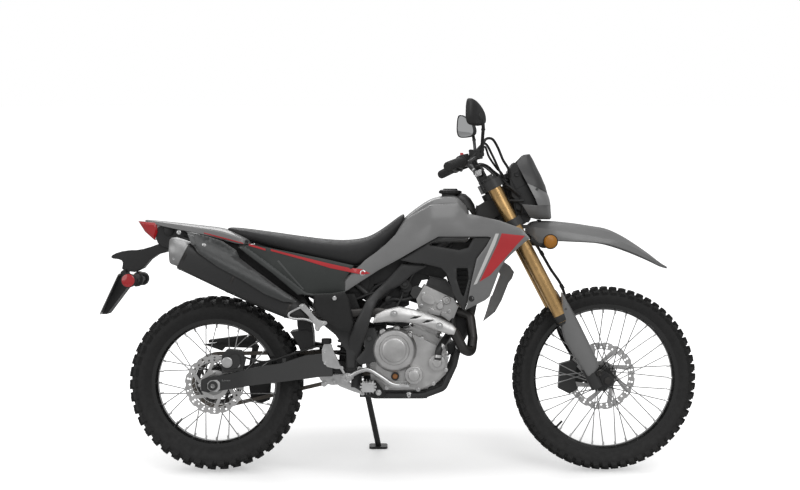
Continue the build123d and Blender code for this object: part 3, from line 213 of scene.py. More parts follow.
BODY_GREY = (0.184, 0.184, 0.184)
DARK_GREY = (0.027, 0.027, 0.0275)
BLACK = (0.010, 0.010, 0.0105)
RED = (0.50, 0.022, 0.028)

grey_body = grained("grey_body", BODY_GREY, 0.36, 900, 0.00003, Coat_Weight=0.25, Coat_Roughness=0.12)
dark_panel = grained("dark_panel", DARK_GREY, 0.5, 1500, 0.00008, worn=(0.07, 0.07, 0.07))
dull_panel = grained("dull_panel", (0.034, 0.038, 0.036), 0.56, 1700, 0.00008)
black_plastic = grained("black_plastic", BLACK, 0.5, 1500, 0.00008, worn=(0.03, 0.03, 0.03))
black_paint = grained("black_paint", (0.0145, 0.0145, 0.015), 0.42, 700, 0.00005, worn=(0.06, 0.06, 0.06))
engine_black = grained("engine_black", (0.013, 0.013, 0.013), 0.4, 800, 0.0001, worn=(0.08, 0.08, 0.08))
dark_gloss = grained("dark_gloss", (0.045, 0.045, 0.046), 0.42, 500, 0.00002, Coat_Weight=0.08)
gloss_black = grained("gloss_black", (0.008, 0.008, 0.008), 0.16, 500, 0.00002, Coat_Weight=0.5)
red_plastic = grained("red_plastic", RED, 0.35, 900, 0.00003, Coat_Weight=0.3)
rubber = grained("rubber", (0.012, 0.012, 0.012), 0.62, 900, 0.0001)
cast_alloy = metal("cast_alloy", (0.70, 0.695, 0.69), 0.42, 700, 0.00016)
bright_alloy = metal("bright_alloy", (0.80, 0.80, 0.80), 0.34, 900, 0.00006)
steel = metal("steel", (0.76, 0.755, 0.75), 0.34, 420, 0.00005, stretch=(1, 1, 12))
shield_steel = metal("shield_steel", (0.88, 0.875, 0.87), 0.5, 360, 0.00003, stretch=(12, 1, 1))
dark_steel = metal("dark_steel", (0.085, 0.082, 0.08), 0.42, 500, 0.00006)
chain_steel = metal("chain_steel", (0.20, 0.18, 0.16), 0.45, 1300, 0.0001)
satin_end = metal("satin_end", (0.42, 0.42, 0.42), 0.46, 500, 0.00006)
gold_tube = metal("gold_tube", (0.78, 0.50, 0.22), 0.3, 500, 0.00004, stretch=(1, 1, 30))
spoke_black = grained("spoke_black", (0.05, 0.05, 0.05), 0.35, 600, 0.00003)
lens_clear = Finish("lens_clear", (0.72, 0.73, 0.74), 0.1, Coat_Weight=0.6)
lens_clear.bump(lens_clear.noise(240, 2), 0.0001, 0.3)
lens_red = grained("lens_red", (0.42, 0.012, 0.016), 0.14, 300, 0.00003, Coat_Weight=0.7)
lens_amber = grained("lens_amber", (0.42, 0.165, 0.012), 0.4, 260, 0.00005, Coat_Weight=0.1)
pale_paint = grained("pale_paint", (0.62, 0.62, 0.61), 0.4, 600, 0.00003)


# ================================================================ ways of making a shape
def flowing(points, steps=6):
    """A smooth curve through these points."""
    points = [Vector(p) for p in points]
    ends = [points[0] * 2 - points[1]] + points + [points[-1] * 2 - points[-2]]
    curve = []
    for a, b, c, d in zip(ends, ends[1:], ends[2:], ends[3:]):
        for step in range(steps):
            t = step / steps
            place = b * 2 + (c - a) * t + (a * 2 - b * 5 + c * 4 - d) * t * t
            curve.append((place + (b * 3 - a - c * 3 + d) * t ** 3) / 2)
    return curve + [points[-1]]


def both_halves(x, half):
    """A closed ring at x from its left half: (y, z) from the crown down to the underside."""
    return [Vector((x, y, z)) for y, z in half] + [Vector((x, -y, z)) for y, z in half[-2:0:-1]]


def square_to(direction):
    """Two unit vectors square to this one."""
    direction = Vector(direction).normalized()
    first = direction.cross(Y if abs(direction.y) < 0.9 else X).normalized()
    return first, direction.cross(first)


def eased(outline, times=2):
    """A closed outline with its corners cut round."""
    for _ in range(times):
        cut = []
        for a, b in round_trip(list(outline)):
            for near, far in ((0.75, 0.25), (0.25, 0.75)):
                cut.append(tuple(p * near + q * far for p, q in zip(a, b)))
        outline = cut
    return outline


def round_trip(outline):
    """Each point of a closed outline with the next one."""
    return zip(outline, outline[1:] + outline[:1])


def is_inside(x, z, outline):
    """Whether a point lies inside a closed outline."""
    found = False
    for (x0, z0), (x1, z1) in round_trip(outline):
        if (z0 > z) != (z1 > z) and x < x0 + (z - z0) * (x1 - x0) / (z1 - z0):
            found = not found
    return found


def edge_distance(x, z, outline):
    """How far a point lies from the outline's nearest edge."""
    nearest = 1e9
    for (x0, z0), (x1, z1) in round_trip(outline):
        run_x, run_z = x1 - x0, z1 - z0
        share = ((x - x0) * run_x + (z - z0) * run_z) / (run_x * run_x + run_z * run_z + 1e-9)
        share = min(1, max(0, share))
        nearest = min(nearest, math.hypot(x - x0 - share * run_x, z - z0 - share * run_z))
    return nearest


def relief(*knots):
    """A smooth outer face through knots of (x, z, y): gives y at any x and z."""
    spots = numpy.array(knots, float)
    count = len(spots)

    def bend(x, z):
        square = (x - spots[:, 0]) ** 2 + (z - spots[:, 1]) ** 2 + 1e-6
        return square * numpy.log(square)

    system = numpy.zeros((count + 3, count + 3))
    for row, (x, z, _) in enumerate(spots):
        system[row, :count] = bend(x, z)
        system[row, count:] = (1, x, z)
    system[count:, :count] = system[:count, count:].T
    weights = numpy.linalg.solve(system, numpy.append(spots[:, 2], (0, 0, 0)))
    return lambda x, z: float(bend(x, z) @ weights[:count] + weights[count:] @ (1, x, z))


class Shape:
    """The points and faces of one piece, in the upright machine's millimetres."""

    def __init__(self):
        self.points, self.faces, self.marks = [], [], []
        self.sharp = {}

    def add(self, points, faces, mark=0):
        start = len(self.points)
        self.points += [Vector(p) for p in points]
        self.faces += [tuple(start + i for i in face) for face in faces]
        self.marks += [mark] * len(faces)
        return self

    def loft(self, rings, caps=True, mark=0, creases=()):
        """Skin a run of rings of equal length; creases are (place in the ring, sharpness)."""
        start, count = len(self.points), len(rings[0])
        faces = []
        for r in range(len(rings) - 1):
            for i in range(count):
                j = (i + 1) % count
                faces.append((r * count + i, r * count + j, (r + 1) * count + j, (r + 1) * count + i))
        if caps:
            faces.append(tuple(reversed(range(count))))
            faces.append(tuple((len(rings) - 1) * count + i for i in range(count)))
        self.add([p for ring in rings for p in ring], faces, mark)
        for place, sharpness in creases:
            for r in range(len(rings) - 1):
                self.sharp[(start + r * count + place, start + (r + 1) * count + place)] = sharpness
        return self

    def tube(self, path, radius, sides=12, mark=0):
        """A round tube along a path, its radius one number or one for each point."""
        path = [Vector(p) for p in path]
        radii = radius if isinstance(radius, (list, tuple)) else [radius] * len(path)
        first, second = square_to(path[1] - path[0])
        rings = []
        for i, point in enumerate(path):
            way = (path[min(i + 1, len(path) - 1)] - path[max(i - 1, 0)]).normalized()
            first = (first - way * first.dot(way)).normalized()
            second = way.cross(first)
            rings.append([
                point + (first * math.cos(a) + second * math.sin(a)) * radii[i]
                for a in around(sides)
            ])
        return self.loft(rings, mark=mark)

    def turn(self, centre, axis, profile, sides=40, mark=0, caps=True):
        """Revolve a profile of (along, radius) pairs about an axis through a centre."""
        centre, axis = Vector(centre), Vector(axis).normalized()
        first, second = square_to(axis)
        rings = [[
            centre + axis * along + (first * math.cos(a) + second * math.sin(a)) * max(radius, 0.01)
            for a in around(sides)
        ] for along, radius in profile]
        return self.loft(rings, caps=caps, mark=mark)

    def hoop(self, centre, axis, profile, sides=72, mark=0):
        """Revolve a closed profile of (along, radius) pairs, which doesn't meet the axis."""
        start = len(self.points)
        self.turn(centre, axis, profile, sides, mark, caps=False)
        last = start + (len(profile) - 1) * sides
        for i in range(sides):
            j = (i + 1) % sides
            self.faces.append((last + i, last + j, start + j, start + i))
            self.marks.append(mark)
        return self

    def prism(self, outline, y_from, y_to, mark=0):
        """A flat plate: a side outline of (x, z) between two y values."""
        rings = [[Vector((x, y, z)) for x, z in outline] for y in (y_from, y_to)]
        return self.loft(rings, mark=mark)

    def hose(self, points, radius, sides=12, mark=0, steps=6):
        """A round tube along the smooth curve through these points."""
        return self.tube(flowing(points, steps), radius, sides, mark)

    def plate(self, outline, y_from, y_to, mark=0):
        """A flat plate with its corners cut round."""
        return self.prism(eased(outline, 1), y_from, y_to, mark)

    def block(self, centre, size, forward=X, up=Z, mark=0, taper=1.0):
        """A block about a centre, its upper face shrunk by the taper."""
        centre, forward, up = Vector(centre), Vector(forward).normalized(), Vector(up).normalized()
        left = up.cross(forward)
        rings = []
        for side, share in ((-0.5, 1.0), (0.5, taper)):
            rings.append([
                centre + up * size[2] * side + forward * size[0] * a * share + left * size[1] * b * share
                for a, b in ((-0.5, -0.5), (0.5, -0.5), (0.5, 0.5), (-0.5, 0.5))
            ])
        return self.loft(rings, mark=mark)

    def bolt(self, at, axis, radius=6, height=5, mark=0):
        """A flanged hexagon bolt head with a dished top."""
        axis = Vector(axis).normalized()
        self.turn(
            at, axis, [(-1, radius * 1.35), (0.25 * height, radius * 1.35), (0.35 * height, radius)], 20,
            mark,
        )
        self.turn(at, axis, [
            (0, radius), (0.92 * height, radius), (height, 0.86 * radius), (height, 0.5 * radius),
            (0.55 * height, 0.42 * radius),
        ], 6, mark)
        return self

    def sheet(self, outline, depth, thick, holes=(), step=13, roll=2.5, roll_width=6, mark=0):
        """A formed panel: a side outline, its outer face at depth(x, z), its edges rolled in."""
        loops = [list(outline)] + [list(hole) for hole in holes]
        spots, edges = [], []
        for loop in loops:
            ring = []
            for (x0, z0), (x1, z1) in round_trip(loop):
                pieces = max(1, round(math.hypot(x1 - x0, z1 - z0) / step))
                ring += [(x0 + (x1 - x0) * k / pieces, z0 + (z1 - z0) * k / pieces) for k in range(pieces)]
            start = len(spots)
            spots += ring
            edges += [(start + i, start + (i + 1) % len(ring)) for i in range(len(ring))]
        rim = list(spots)

        def holds(x, z):
            return is_inside(x, z, loops[0]) and not any(is_inside(x, z, hole) for hole in loops[1:])

        def gap(x, z):
            return min(edge_distance(x, z, loop) for loop in loops)

        for start, end in edges:
            (x0, z0), (x1, z1) = rim[start], rim[end]
            run = math.hypot(x1 - x0, z1 - z0)
            for way in (-1, 1):
                for reach in (0.4 * roll_width, roll_width):
                    x = (x0 + x1) / 2 - way * reach * (z1 - z0) / run
                    z = (z0 + z1) / 2 + way * reach * (x1 - x0) / run
                    if holds(x, z) and gap(x, z) > 0.8 * reach:
                        spots.append((x, z))
        lows = [min(c) for c in zip(*loops[0])]
        highs = [max(c) for c in zip(*loops[0])]
        rows = int((highs[1] - lows[1]) / (step * 0.866)) + 1
        for row in range(rows):
            z = lows[1] + row * step * 0.866
            for column in range(int((highs[0] - lows[0]) / step) + 2):
                x = lows[0] + (column + 0.5 * (row % 2)) * step
                if holds(x, z) and gap(x, z) > roll_width + 0.35 * step:
                    spots.append((x, z))
        flat, _, faces, *_ = delaunay_2d_cdt([Vector(s) for s in spots], edges, [], 0, 1e-4)
        kept = []
        for face in faces:
            x = sum(flat[i].x for i in face) / 3
            z = sum(flat[i].y for i in face) / 3
            if holds(x, z):
                kept.append(face)
        if not kept:
            return self
        outer, inner = [], []
        for spot in flat:
            near = min(1, gap(spot.x, spot.y) / roll_width)
            y = depth(spot.x, spot.y)
            way = math.copysign(1, y)
            y -= way * roll * (1 - math.sqrt(max(0, 1 - (1 - near) ** 2)))
            outer.append(Vector((spot.x, y, spot.y)))
            inner.append(Vector((spot.x, y - way * thick, spot.y)))
        shift = len(outer)
        skin = [tuple(face) for face in kept] + [tuple(i + shift for i in reversed(face)) for face in kept]
        sides = {}
        for face in kept:
            for a, b in zip(face, face[1:] + face[:1]):
                sides[(a, b)] = sides.get((a, b), 0) + 1
        for a, b in sides:
            if (b, a) not in sides:
                skin.append((b, a, a + shift, b + shift))
        return self.add(outer + inner, skin, mark)

    def mirrored(self):
        """The same shape on both sides of the machine."""
        count = len(self.points)
        self.points += [Vector((p.x, -p.y, p.z)) for p in self.points]
        self.faces += [tuple(count + i for i in reversed(face)) for face in self.faces]
        self.marks += self.marks
        self.sharp.update({(a + count, b + count): s for (a, b), s in list(self.sharp.items())})
        return self

    def make(self, name, finishes, body, slot, replaces=(), smooth_angle=40, subdivide=0, bevel=0.0):
        """Build the piece: place it on the leaning machine, finish it, and let it ride on a body."""
        mesh = bpy.data.meshes.new(name)
        mesh.from_pydata([BIKE @ p for p in self.points], [], self.faces)
        for finish in finishes if isinstance(finishes, (list, tuple)) else [finishes]:
            mesh.materials.append(finish.material)
        mesh.polygons.foreach_set("material_index", self.marks)
        tidy = bmesh.new()
        tidy.from_mesh(mesh)
        if self.sharp:
            crease = tidy.edges.layers.float.new("crease_edge")
            tidy.verts.ensure_lookup_table()
            for (a, b), sharpness in self.sharp.items():
                edge = tidy.edges.get((tidy.verts[a], tidy.verts[b]))
                if edge:
                    edge[crease] = sharpness
        bmesh.ops.remove_doubles(tidy, verts=tidy.verts, dist=0.00002)
        bmesh.ops.recalc_face_normals(tidy, faces=tidy.faces)
        tidy.to_mesh(mesh)
        tidy.free()
        piece = bpy.data.objects.new(name, mesh)
        bpy.context.scene.collection.objects.link(piece)
        if bevel:
            rounding = piece.modifiers.new("rounding", "BEVEL")
            rounding.width = bevel * MM
            rounding.segments = 2
            rounding.limit_method = "ANGLE"
            rounding.angle_limit = math.radians(35)
        if subdivide:
            surface = piece.modifiers.new("surface", "SUBSURF")
            surface.levels = surface.render_levels = subdivide
        mesh.shade_smooth()
        if not subdivide:
            mesh.set_sharp_from_angle(angle=math.radians(smooth_angle))
        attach(piece, body)
        if replaces:
            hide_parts(*([replaces] if isinstance(replaces, str) else replaces))
        return piece


# ================================================================ bodywork
# Outer faces of the right-hand panels, as knots of (x, z, half width)
cover_face = relief(
    (715, 946, 66), (760, 972, 72), (802, 995, 82), (850, 996, 92), (903, 998, 100), (945, 965, 118),
    (990, 945, 141), (1053, 936, 160), (1134, 905, 180), (1162, 872, 188), (720, 900, 102),
    (800, 940, 122), (880, 940, 134), (980, 915, 153), (1060, 890, 174), (660, 850, 110), (750, 860, 126),
    (850, 885, 142), (950, 885, 157), (600, 790, 118), (540, 740, 124), (487, 673, 126), (640, 780, 121),
    (1100, 830, 180), (1060, 770, 176), (1010, 680, 164), (930, 610, 150), (955, 700, 158),
    (1000, 800, 168),
)
COVER = [
    (717, 946), (760, 971), (802, 994), (856, 998), (903, 1000), (912, 986), (937, 961), (959, 958),
    (1053, 936), (1113, 914), (1134, 905), (1162, 872), (1128, 843), (1096, 813), (1073, 790), (1052, 755),
    (1040, 720), (1029, 690), (1017, 658), (1001, 644), (926, 606), (935, 626), (947, 696), (970, 796),
    (1005, 843), (1022, 874), (1011, 877), (830, 877), (789, 854), (754, 834), (689, 796), (613, 755),
    (549, 714), (487, 673), (481, 714), (522, 755), (543, 772), (560, 790), (601, 819), (636, 848),
    (672, 884), (695, 916),
]
INNER_COVER = [
    (689, 790), (774, 846), (830, 880), (1011, 880), (1034, 872), (1005, 843), (970, 796), (947, 696),
    (935, 626), (926, 606), (917, 611), (894, 650), (876, 696), (859, 743), (841, 761), (777, 777),
    (730, 781),
]
UPPER_WINDOW = [(795, 846), (830, 866), (850, 872), (958, 872), (940, 836), (906, 827)]
LOWER_WINDOW = [(897, 761), (938, 761), (941, 720), (929, 673), (923, 656), (914, 667), (897, 720)]


def body_panels():
    """The grey side covers in front, and the dark ones inside them with their two windows."""
    cover = Shape().sheet(
        COVER, lambda x, z: -cover_face(x, z), 5, step=12, roll=3, roll_width=7,
    ).mirrored()
    cover.make("side_covers_front", grey_body, "chassis", "grey_plastic", "shrouds")
    inner = Shape().sheet(
        INNER_COVER, lambda x, z: 14 - cover_face(x, z), 5, [UPPER_WINDOW, LOWER_WINDOW], step=11, roll=4,
        roll_width=9,
    ).mirrored()
    inner.make("inner_covers", dark_panel, "chassis", "dark_plastic", "knee_panels")


def tank():
    """The tank's grey crown, and the filler cap with the dark hood ahead of it."""
    rows = [  # x, crown z, shoulder half width, shoulder z, low half width, low z
        (640, 868, 48, 850, 56, 800), (700, 944, 58, 926, 80, 830), (730, 969, 64, 950, 92, 838),
        (770, 999, 70, 974, 100, 842), (810, 1024, 78, 996, 106, 846), (860, 1032, 86, 1002, 112, 850),
        (903, 1034, 92, 1000, 112, 852), (922, 1010, 92, 980, 108, 852), (952, 984, 88, 950, 100, 852),
    ]
    shell = Shape()
    rings = []
    for x, crown, shoulder, shoulder_z, low_half, low_z in rows:
        half = [
            (0, crown), (0.45 * shoulder, crown - 3), (0.82 * shoulder, crown - 10),
            (shoulder, shoulder_z), (low_half, (shoulder_z + low_z) / 2), (low_half, low_z + 12),
            (0.7 * low_half, low_z), (0, low_z),
        ]
        rings.append(both_halves(x, half))
    shell.loft(rings, creases=((2, 0.5), (12, 0.5), (3, 0.6), (11, 0.6)))
    shell.make("tank_shell", grey_body, "chassis", "grey_plastic", "fuel_tank", subdivide=2)
    cap = Shape().turn((878, 0, 1014), (0.05, 0, 1), [
        (0, 33), (20, 33), (22, 40), (25, 42), (33, 42), (36, 39), (37, 34), (35, 30), (35, 0),
    ], 40)
    cap.block((878, 0, 1052), (60, 13, 9), taper=0.85)
    for a in around(20):
        out = X * math.cos(a) + Y * math.sin(a)
        cap.block(Vector((878, 0, 1043)) + out * 41.5, (3, 5, 8), out)
    hood = [
        (902, 1034, 56), (916, 1040, 62), (936, 1036, 64), (954, 1020, 62), (968, 998, 58),
        (976, 968, 50),
    ]
    rings = []
    for x, z, half in hood:
        rings.append([
            Vector((x, half * math.cos(a), z - 48 + 48 * math.sin(a) ** 0.6 if math.sin(a) > 0 else z - 48))
            for a in (math.pi * k / 12 for k in range(13))
        ])
    cap.loft(rings)
    cap.make("filler_cap", black_plastic, "chassis", "black_plastic", "tank_cap", smooth_angle=35)


SEAT_ROWS = [  # x, edge z, crown z, half width, underside z
    (38, 908, 913, 46, 893), (100, 896, 909, 82, 868), (200, 875, 896, 104, 838), (309, 855, 880, 114, 812),
    (432, 838, 864, 114, 784), (500, 836, 864, 109, 768), (545, 844, 870, 101, 772), (580, 858, 880, 92, 790),
    (620, 880, 904, 80, 822), (655, 904, 930, 68, 860), (692, 938, 958, 55, 906), (707, 953, 964, 44, 936),
]


def seat():
    """The long dished saddle: one crowned cushion, creased along its sides and underside."""
    pad = Shape()
    rings = []
    for x, edge, crown, half, under in SEAT_ROWS:
        profile = [
            (0, crown), (0.4 * half, crown - 0.05 * (crown - edge)),
            (0.74 * half, crown - 0.28 * (crown - edge)), (0.93 * half, crown - 0.75 * (crown - edge)),
            (half, edge - 5), (0.99 * half, (edge + under) / 2), (0.93 * half, under + 4),
            (0.8 * half, under), (0, under),
        ]
        rings.append(both_halves(x, profile))
    pad.loft(rings, creases=((3, 0.35), (13, 0.35), (7, 0.8), (9, 0.8)))
    cushion = pad.make("saddle", seat_cover, "chassis", "seat_vinyl", "seat", subdivide=3)


# ================================================================ panels behind the saddle
SIDE_COVER = [
    (93, 843), (146, 847), (300, 817), (432, 790), (519, 770), (485, 716), (487, 673), (440, 665),
    (372, 662), (340, 667), (300, 698), (129, 828),
]
LOWER_TRIM = [
    (125, 825), (129, 829), (216, 763), (303, 700), (342, 671), (372, 666), (440, 669), (487, 677),
    (487, 671), (440, 662), (372, 659), (338, 663), (298, 694), (212, 758),
]
FOLD_TRIM = [(236, 786), (331, 680), (336, 683), (242, 790)]
TAIL_STRIPE = [(-34, 888), (40, 868), (112, 850), (112, 853), (40, 873), (-34, 892)]
MIDDLE_STRIPE = [(132, 843), (194, 825), (194, 832), (132, 851)]
LONG_STRIPE = [
    (213, 824), (320, 795), (432, 761), (500, 747), (548, 737), (580, 741), (548, 757), (500, 762),
    (432, 777), (320, 804), (213, 831),
]
SLASH = [(980, 712), (1045, 850), (1060, 889), (1144, 880), (1110, 842), (1062, 786), (1018, 736)]
SLIM_SLASH = [(958, 700), (970, 704), (1036, 848), (1050, 888), (1038, 888), (1022, 850)]
LOWER_LIP = [
    (92, 838), (124, 842), (232, 769), (346, 673), (340, 664), (312, 663), (220, 741), (122, 814),
]


def side_face(x, z):
    """Half width of the rear side covers, which bulge a little in the middle."""
    base = 121 + 5 * (x - 80) / 440
    return base + 5 * math.exp(-((z - 745) / 60) ** 2) * min(1, max(0, (x - 100) / 120))


def flank(x, z):
    """Half width of whichever panel is outermost."""
    share = min(1, max(0, (x - 500) / 30))
    tail = 118 if x < 95 else side_face(x, z)
    return (1 - share) * tail + share * cover_face(x, z)


def rear_panels():
    """The covers below the saddle with their trims, and the stripes and bolts of the side panels."""
    covers = Shape().sheet(SIDE_COVER, lambda x, z: -side_face(x, z), 5, step=15, roll=4, roll_width=9)
    covers.mirrored().make("rear_side_covers", dull_panel, "chassis", "dark_plastic", "side_covers")
    trims = Shape()
    for outline in (LOWER_TRIM, FOLD_TRIM):
        trims.sheet(outline, lambda x, z: -side_face(x, z) - 1.5, 4, step=12, roll=1, roll_width=2)
    trims.sheet(LOWER_LIP, lambda x, z: -side_face(x, z) + 1, 4, step=12, roll=3, roll_width=6)
    trims.mirrored().make("side_cover_trims", trim_grey, "chassis", "dark_plastic")
    stripes = Shape()
    for outline, proud in (
        (TAIL_STRIPE, 1.0), (MIDDLE_STRIPE, 2.6), (LONG_STRIPE, 1.6), (SLASH, 0.9),
    ):
        stripes.sheet(outline, lambda x, z: -flank(x, z) - proud, 1.4, step=11, roll=0.3, roll_width=1)
    stripes.mirrored().make("side_stripes", red_plastic, "chassis", "grey_plastic")
    slim = Shape().sheet(SLIM_SLASH, lambda x, z: -flank(x, z) - 0.9, 1.4, step=11, roll=0.3, roll_width=1)
    slim.mirrored().make("slim_stripes", pale_paint, "chassis", "grey_plastic")
    bolts = Shape()
    for x, z, size, mark in (
        (552, 743, 8, 0), (450, 652, 5, 0), (124, 858, 4, 1), (-126, 892, 5, 0), (951, 650, 8, 1),
    ):
        half = flank(x, z)
        bolts.turn(
            (x, 3 - half, z), RIGHT, [(0, size + 3), (4, size + 3), (5, size), (3.4, size - 2), (3.4, 0)],
            20, mark,
        )
    bolts.mirrored().make(
        "panel_bolts", [bright_alloy, black_plastic], "chassis", "bright_steel", smooth_angle=30,
    )


def tail():
    """The grey cowl behind the saddle, and the red lens that ends it."""
    rows = [  # x, top z, edge half width, edge z, low half width, low z
        (-251, 940, 16, 938, 22, 934), (-228, 939, 34, 935, 42, 929), (-169, 933, 54, 926, 62, 912),
        (-100, 926, 72, 916, 84, 899), (-34, 918, 88, 906, 100, 885), (36, 911, 104, 896, 114, 866),
        (90, 892, 112, 876, 118, 850), (146, 868, 112, 858, 119, 846),
    ]
    cowl = Shape()
    rings = []
    for x, top, edge_half, edge_z, low_half, low_z in rows:
        outer = [(low_half, low_z), (edge_half, edge_z), (0.6 * edge_half, top - 1), (0, top)]
        outer += [(-y, z) for y, z in outer[-2::-1]]
        inner = [(y * 0.93, z - 5) for y, z in reversed(outer)]
        rings.append([off_side(x, y, z) for y, z in outer + inner])
    cowl.loft(rings, creases=((1, 0.8), (5, 0.8), (0, 1), (6, 1)))
    cowl.make("tail_shell", grey_body, "chassis", "grey_plastic", "tail_cowl", subdivide=2)
    lens = Shape()
    facets = [(-272, 933), (-204, 927), (-203, 892), (-213, 864), (-248, 895)]
    middle = Vector((-225, 0, 905))
    rings = []
    for half, share in ((50, 0.62), (44, 1), (14, 1.04), (-14, 1.04), (-44, 1), (-50, 0.62)):
        rings.append([
            off_side(*(middle + (Vector((x, 0, z)) - middle) * share + Y * half))
            for x, z in facets
        ])
    lens.loft(rings)
    lens.make("tail_lens", lens_red, "chassis", "lens_red", "tail_light", smooth_angle=20, bevel=1.5)


seat_cover = grained("seat_cover", (0.014, 0.014, 0.0145), 0.58, 1400, 0.00012)
trim_grey = grained("trim_grey", (0.075, 0.08, 0.078), 0.45, 1200, 0.00004)
body_panels()
tank()
seat()
rear_panels()
tail()


# ================================================================ wheels
def tyre(name, node, axle, radius, half, rim_r, rim_half, knob_rows, count, body):
    """A knobbly tyre: a round carcass, and blocks in staggered rows round its crown."""
    shape = Shape()
    tread = radius - 13
    carcass = [
        (-rim_half + 5, rim_r - 11), (-rim_half - 1, rim_r + 2),
        (-0.86 * half, rim_r + 0.32 * (tread - rim_r)), (-0.97 * half, rim_r + 0.56 * (tread - rim_r)),
        (-0.93 * half, rim_r + 0.76 * (tread - rim_r)), (-0.74 * half, tread - 0.15 * half),
        (-0.4 * half, tread - 0.035 * half), (0, tread),
    ]
    carcass += [(-along, r) for along, r in carcass[-2::-1]]
    shape.hoop(axle, Y, carcass, 96)
    for along, width, length, shift, height, slant in knob_rows:
        for k in range(count):
            for side in (-1, 1) if along else (1,):
                angle = 2 * math.pi * (k + shift + (0.5 if side > 0 and along else 0)) / count
                out = outward(angle)
                ahead = Z * math.cos(angle) - X * math.sin(angle)
                across_half = abs(along) / half
                drop = 0.5 * half * across_half ** 3 if along else 0
                tip = (
                    out * (1 - 0.55 * across_half ** 2) + Y * side * 0.9 * across_half ** 1.6
                ).normalized()
                base = Vector(axle) + out * (tread - drop - 3) + Y * side * along
                forward = ahead + Y * slant * side
                shape.block(base + tip * (height / 2), (length, width, height), forward, tip, taper=0.84)
    return shape.make(name, tyre_rubber, body, "tyre_rubber", node, smooth_angle=32)


tyre_rubber = Finish("tyre_rubber", (0.014, 0.014, 0.0145), 0.72)
dust = tyre_rubber.noise(30, 5)
tyre_rubber.set(**{"Base Color": tyre_rubber.mix(dust, (0.010, 0.010, 0.0105), (0.022, 0.0215, 0.021))})
tyre_rubber.set(Roughness=tyre_rubber.span(tyre_rubber.noise(60), 0.3, 0.7, 0.62, 0.84))
tyre_rubber.bump(tyre_rubber.noise(700, 3), 0.0002, 0.6)

# rows of distance from the middle, width across, length round, shift, height, slant
FRONT_KNOBS = [(0, 17, 20, 0, 15, 0), (19, 14, 19, 0.25, 15, 0.15), (35, 12, 22, 0.0, 17, 0.1)]
REAR_KNOBS = [(0, 24, 24, 0, 15, 0), (29, 19, 23, 0.25, 15, 0.1), (52, 15, 28, 0.0, 18, 0.1)]
tyre("front_knobbly", "front_tyre", FRONT_AXLE, FRONT_AXLE_Z, 41, 278, 25, FRONT_KNOBS, 60, "front_wheel")
tyre("rear_knobbly", "rear_tyre", REAR_AXLE, REAR_AXLE_Z, 60, 241, 32, REAR_KNOBS, 42, "rear_wheel")


# ================================================================ finishes of the pieces kept from the frame
def wires(name, joint, reach):
    """Steel wire spokes, and the black hub they start from."""
    made = metal(name, (0.42, 0.42, 0.42), 0.36, 600, 0.00003)
    middle = tuple(JOINTS[joint]["pos_m"])
    away = made.node("ShaderNodeVectorMath", {"operation": "DISTANCE"}, [made.place(), middle], out="Value")
    beyond = made.span(away, reach, reach + 0.004)
    made.set(**{
        "Base Color": made.mix(beyond, (0.012, 0.012, 0.012), (0.42, 0.42, 0.42)), "Metallic": beyond,
    })
    return made


front_wires = wires("front_wires", "front_spin", 0.060)
rear_wires = wires("rear_wires", "rear_spin", 0.076)
KEPT = {
    "frame": dark_panel, "subframe": black_paint, "engine_cases": cast_alloy, "clutch_cover": cast_alloy,
    "generator_cover": cast_alloy, "cylinder": cast_alloy, "intake": black_plastic,
    "exhaust_pipe": dark_steel, "muffler": black_paint, "exhaust_shields": dark_panel,
    "radiator": engine_black, "swingarm": dark_panel, "shock": engine_black, "chain": chain_steel,
    "chain_guard": black_plastic, "rear_caliper": engine_black, "foot_controls": bright_alloy,
    "stand_bracket": black_paint, "seat": seat_cover, "fuel_tank": grey_body, "tank_cap": black_plastic,
    "shrouds": grey_body, "knee_panels": dark_panel, "side_covers": dull_panel, "tail_cowl": grey_body,
    "rear_fender": black_plastic, "tail_light": lens_red, "licence_plate": pale_paint,
    "rear_signals": black_plastic, "triple_clamps": black_paint, "handlebar": black_paint,
    "grips": rubber, "bar_controls": black_plastic, "mirrors": black_plastic, "fork_tubes": gold_tube,
    "fork_legs": black_paint, "fork_guards": grey_body, "front_caliper": engine_black,
    "headlight_mask": grey_body, "headlight_lens": lens_clear, "instrument": black_plastic,
    "front_fender": grey_body, "front_signals": lens_amber, "brake_hose": rubber,
    "control_cables": rubber, "front_tyre": tyre_rubber, "front_rim": gloss_black,
    "front_hub": front_wires, "front_disc": steel, "rear_tyre": tyre_rubber, "rear_rim": gloss_black,
    "rear_hub": rear_wires, "rear_disc": steel, "rear_sprocket": dark_steel, "side_stand": black_paint,
}
for node, finish in KEPT.items():
    for place in frame["nodes"][node].material_slots:
        place.material = finish.material


# ================================================================ exhaust
MUFFLER_FRONT, MUFFLER_REAR = Vector((345, -128, 585)), Vector((-118, -152, 817))
MUFFLER_WAY = (MUFFLER_REAR - MUFFLER_FRONT).normalized()
MUFFLER_LENGTH = 498


def off_muffler(x, z):
    """Distance from the muffler's middle line as seen from the side, and the line's own y there."""
    run_x, run_y, run_z = MUFFLER_REAR - MUFFLER_FRONT
    share = ((x - MUFFLER_FRONT.x) * run_x + (z - MUFFLER_FRONT.z) * run_z) / (run_x ** 2 + run_z ** 2)
    gap = math.hypot(x - MUFFLER_FRONT.x - share * run_x, z - MUFFLER_FRONT.z - share * run_z)
    return gap, MUFFLER_FRONT.y + run_y * share


def muffler_face(x, z):
    """The y of the muffler's outer side, which its guard follows."""
    run, middle = off_muffler(x, z)
    return middle - 53 * (1 - (min(run, 82) / 88) ** 3.2)


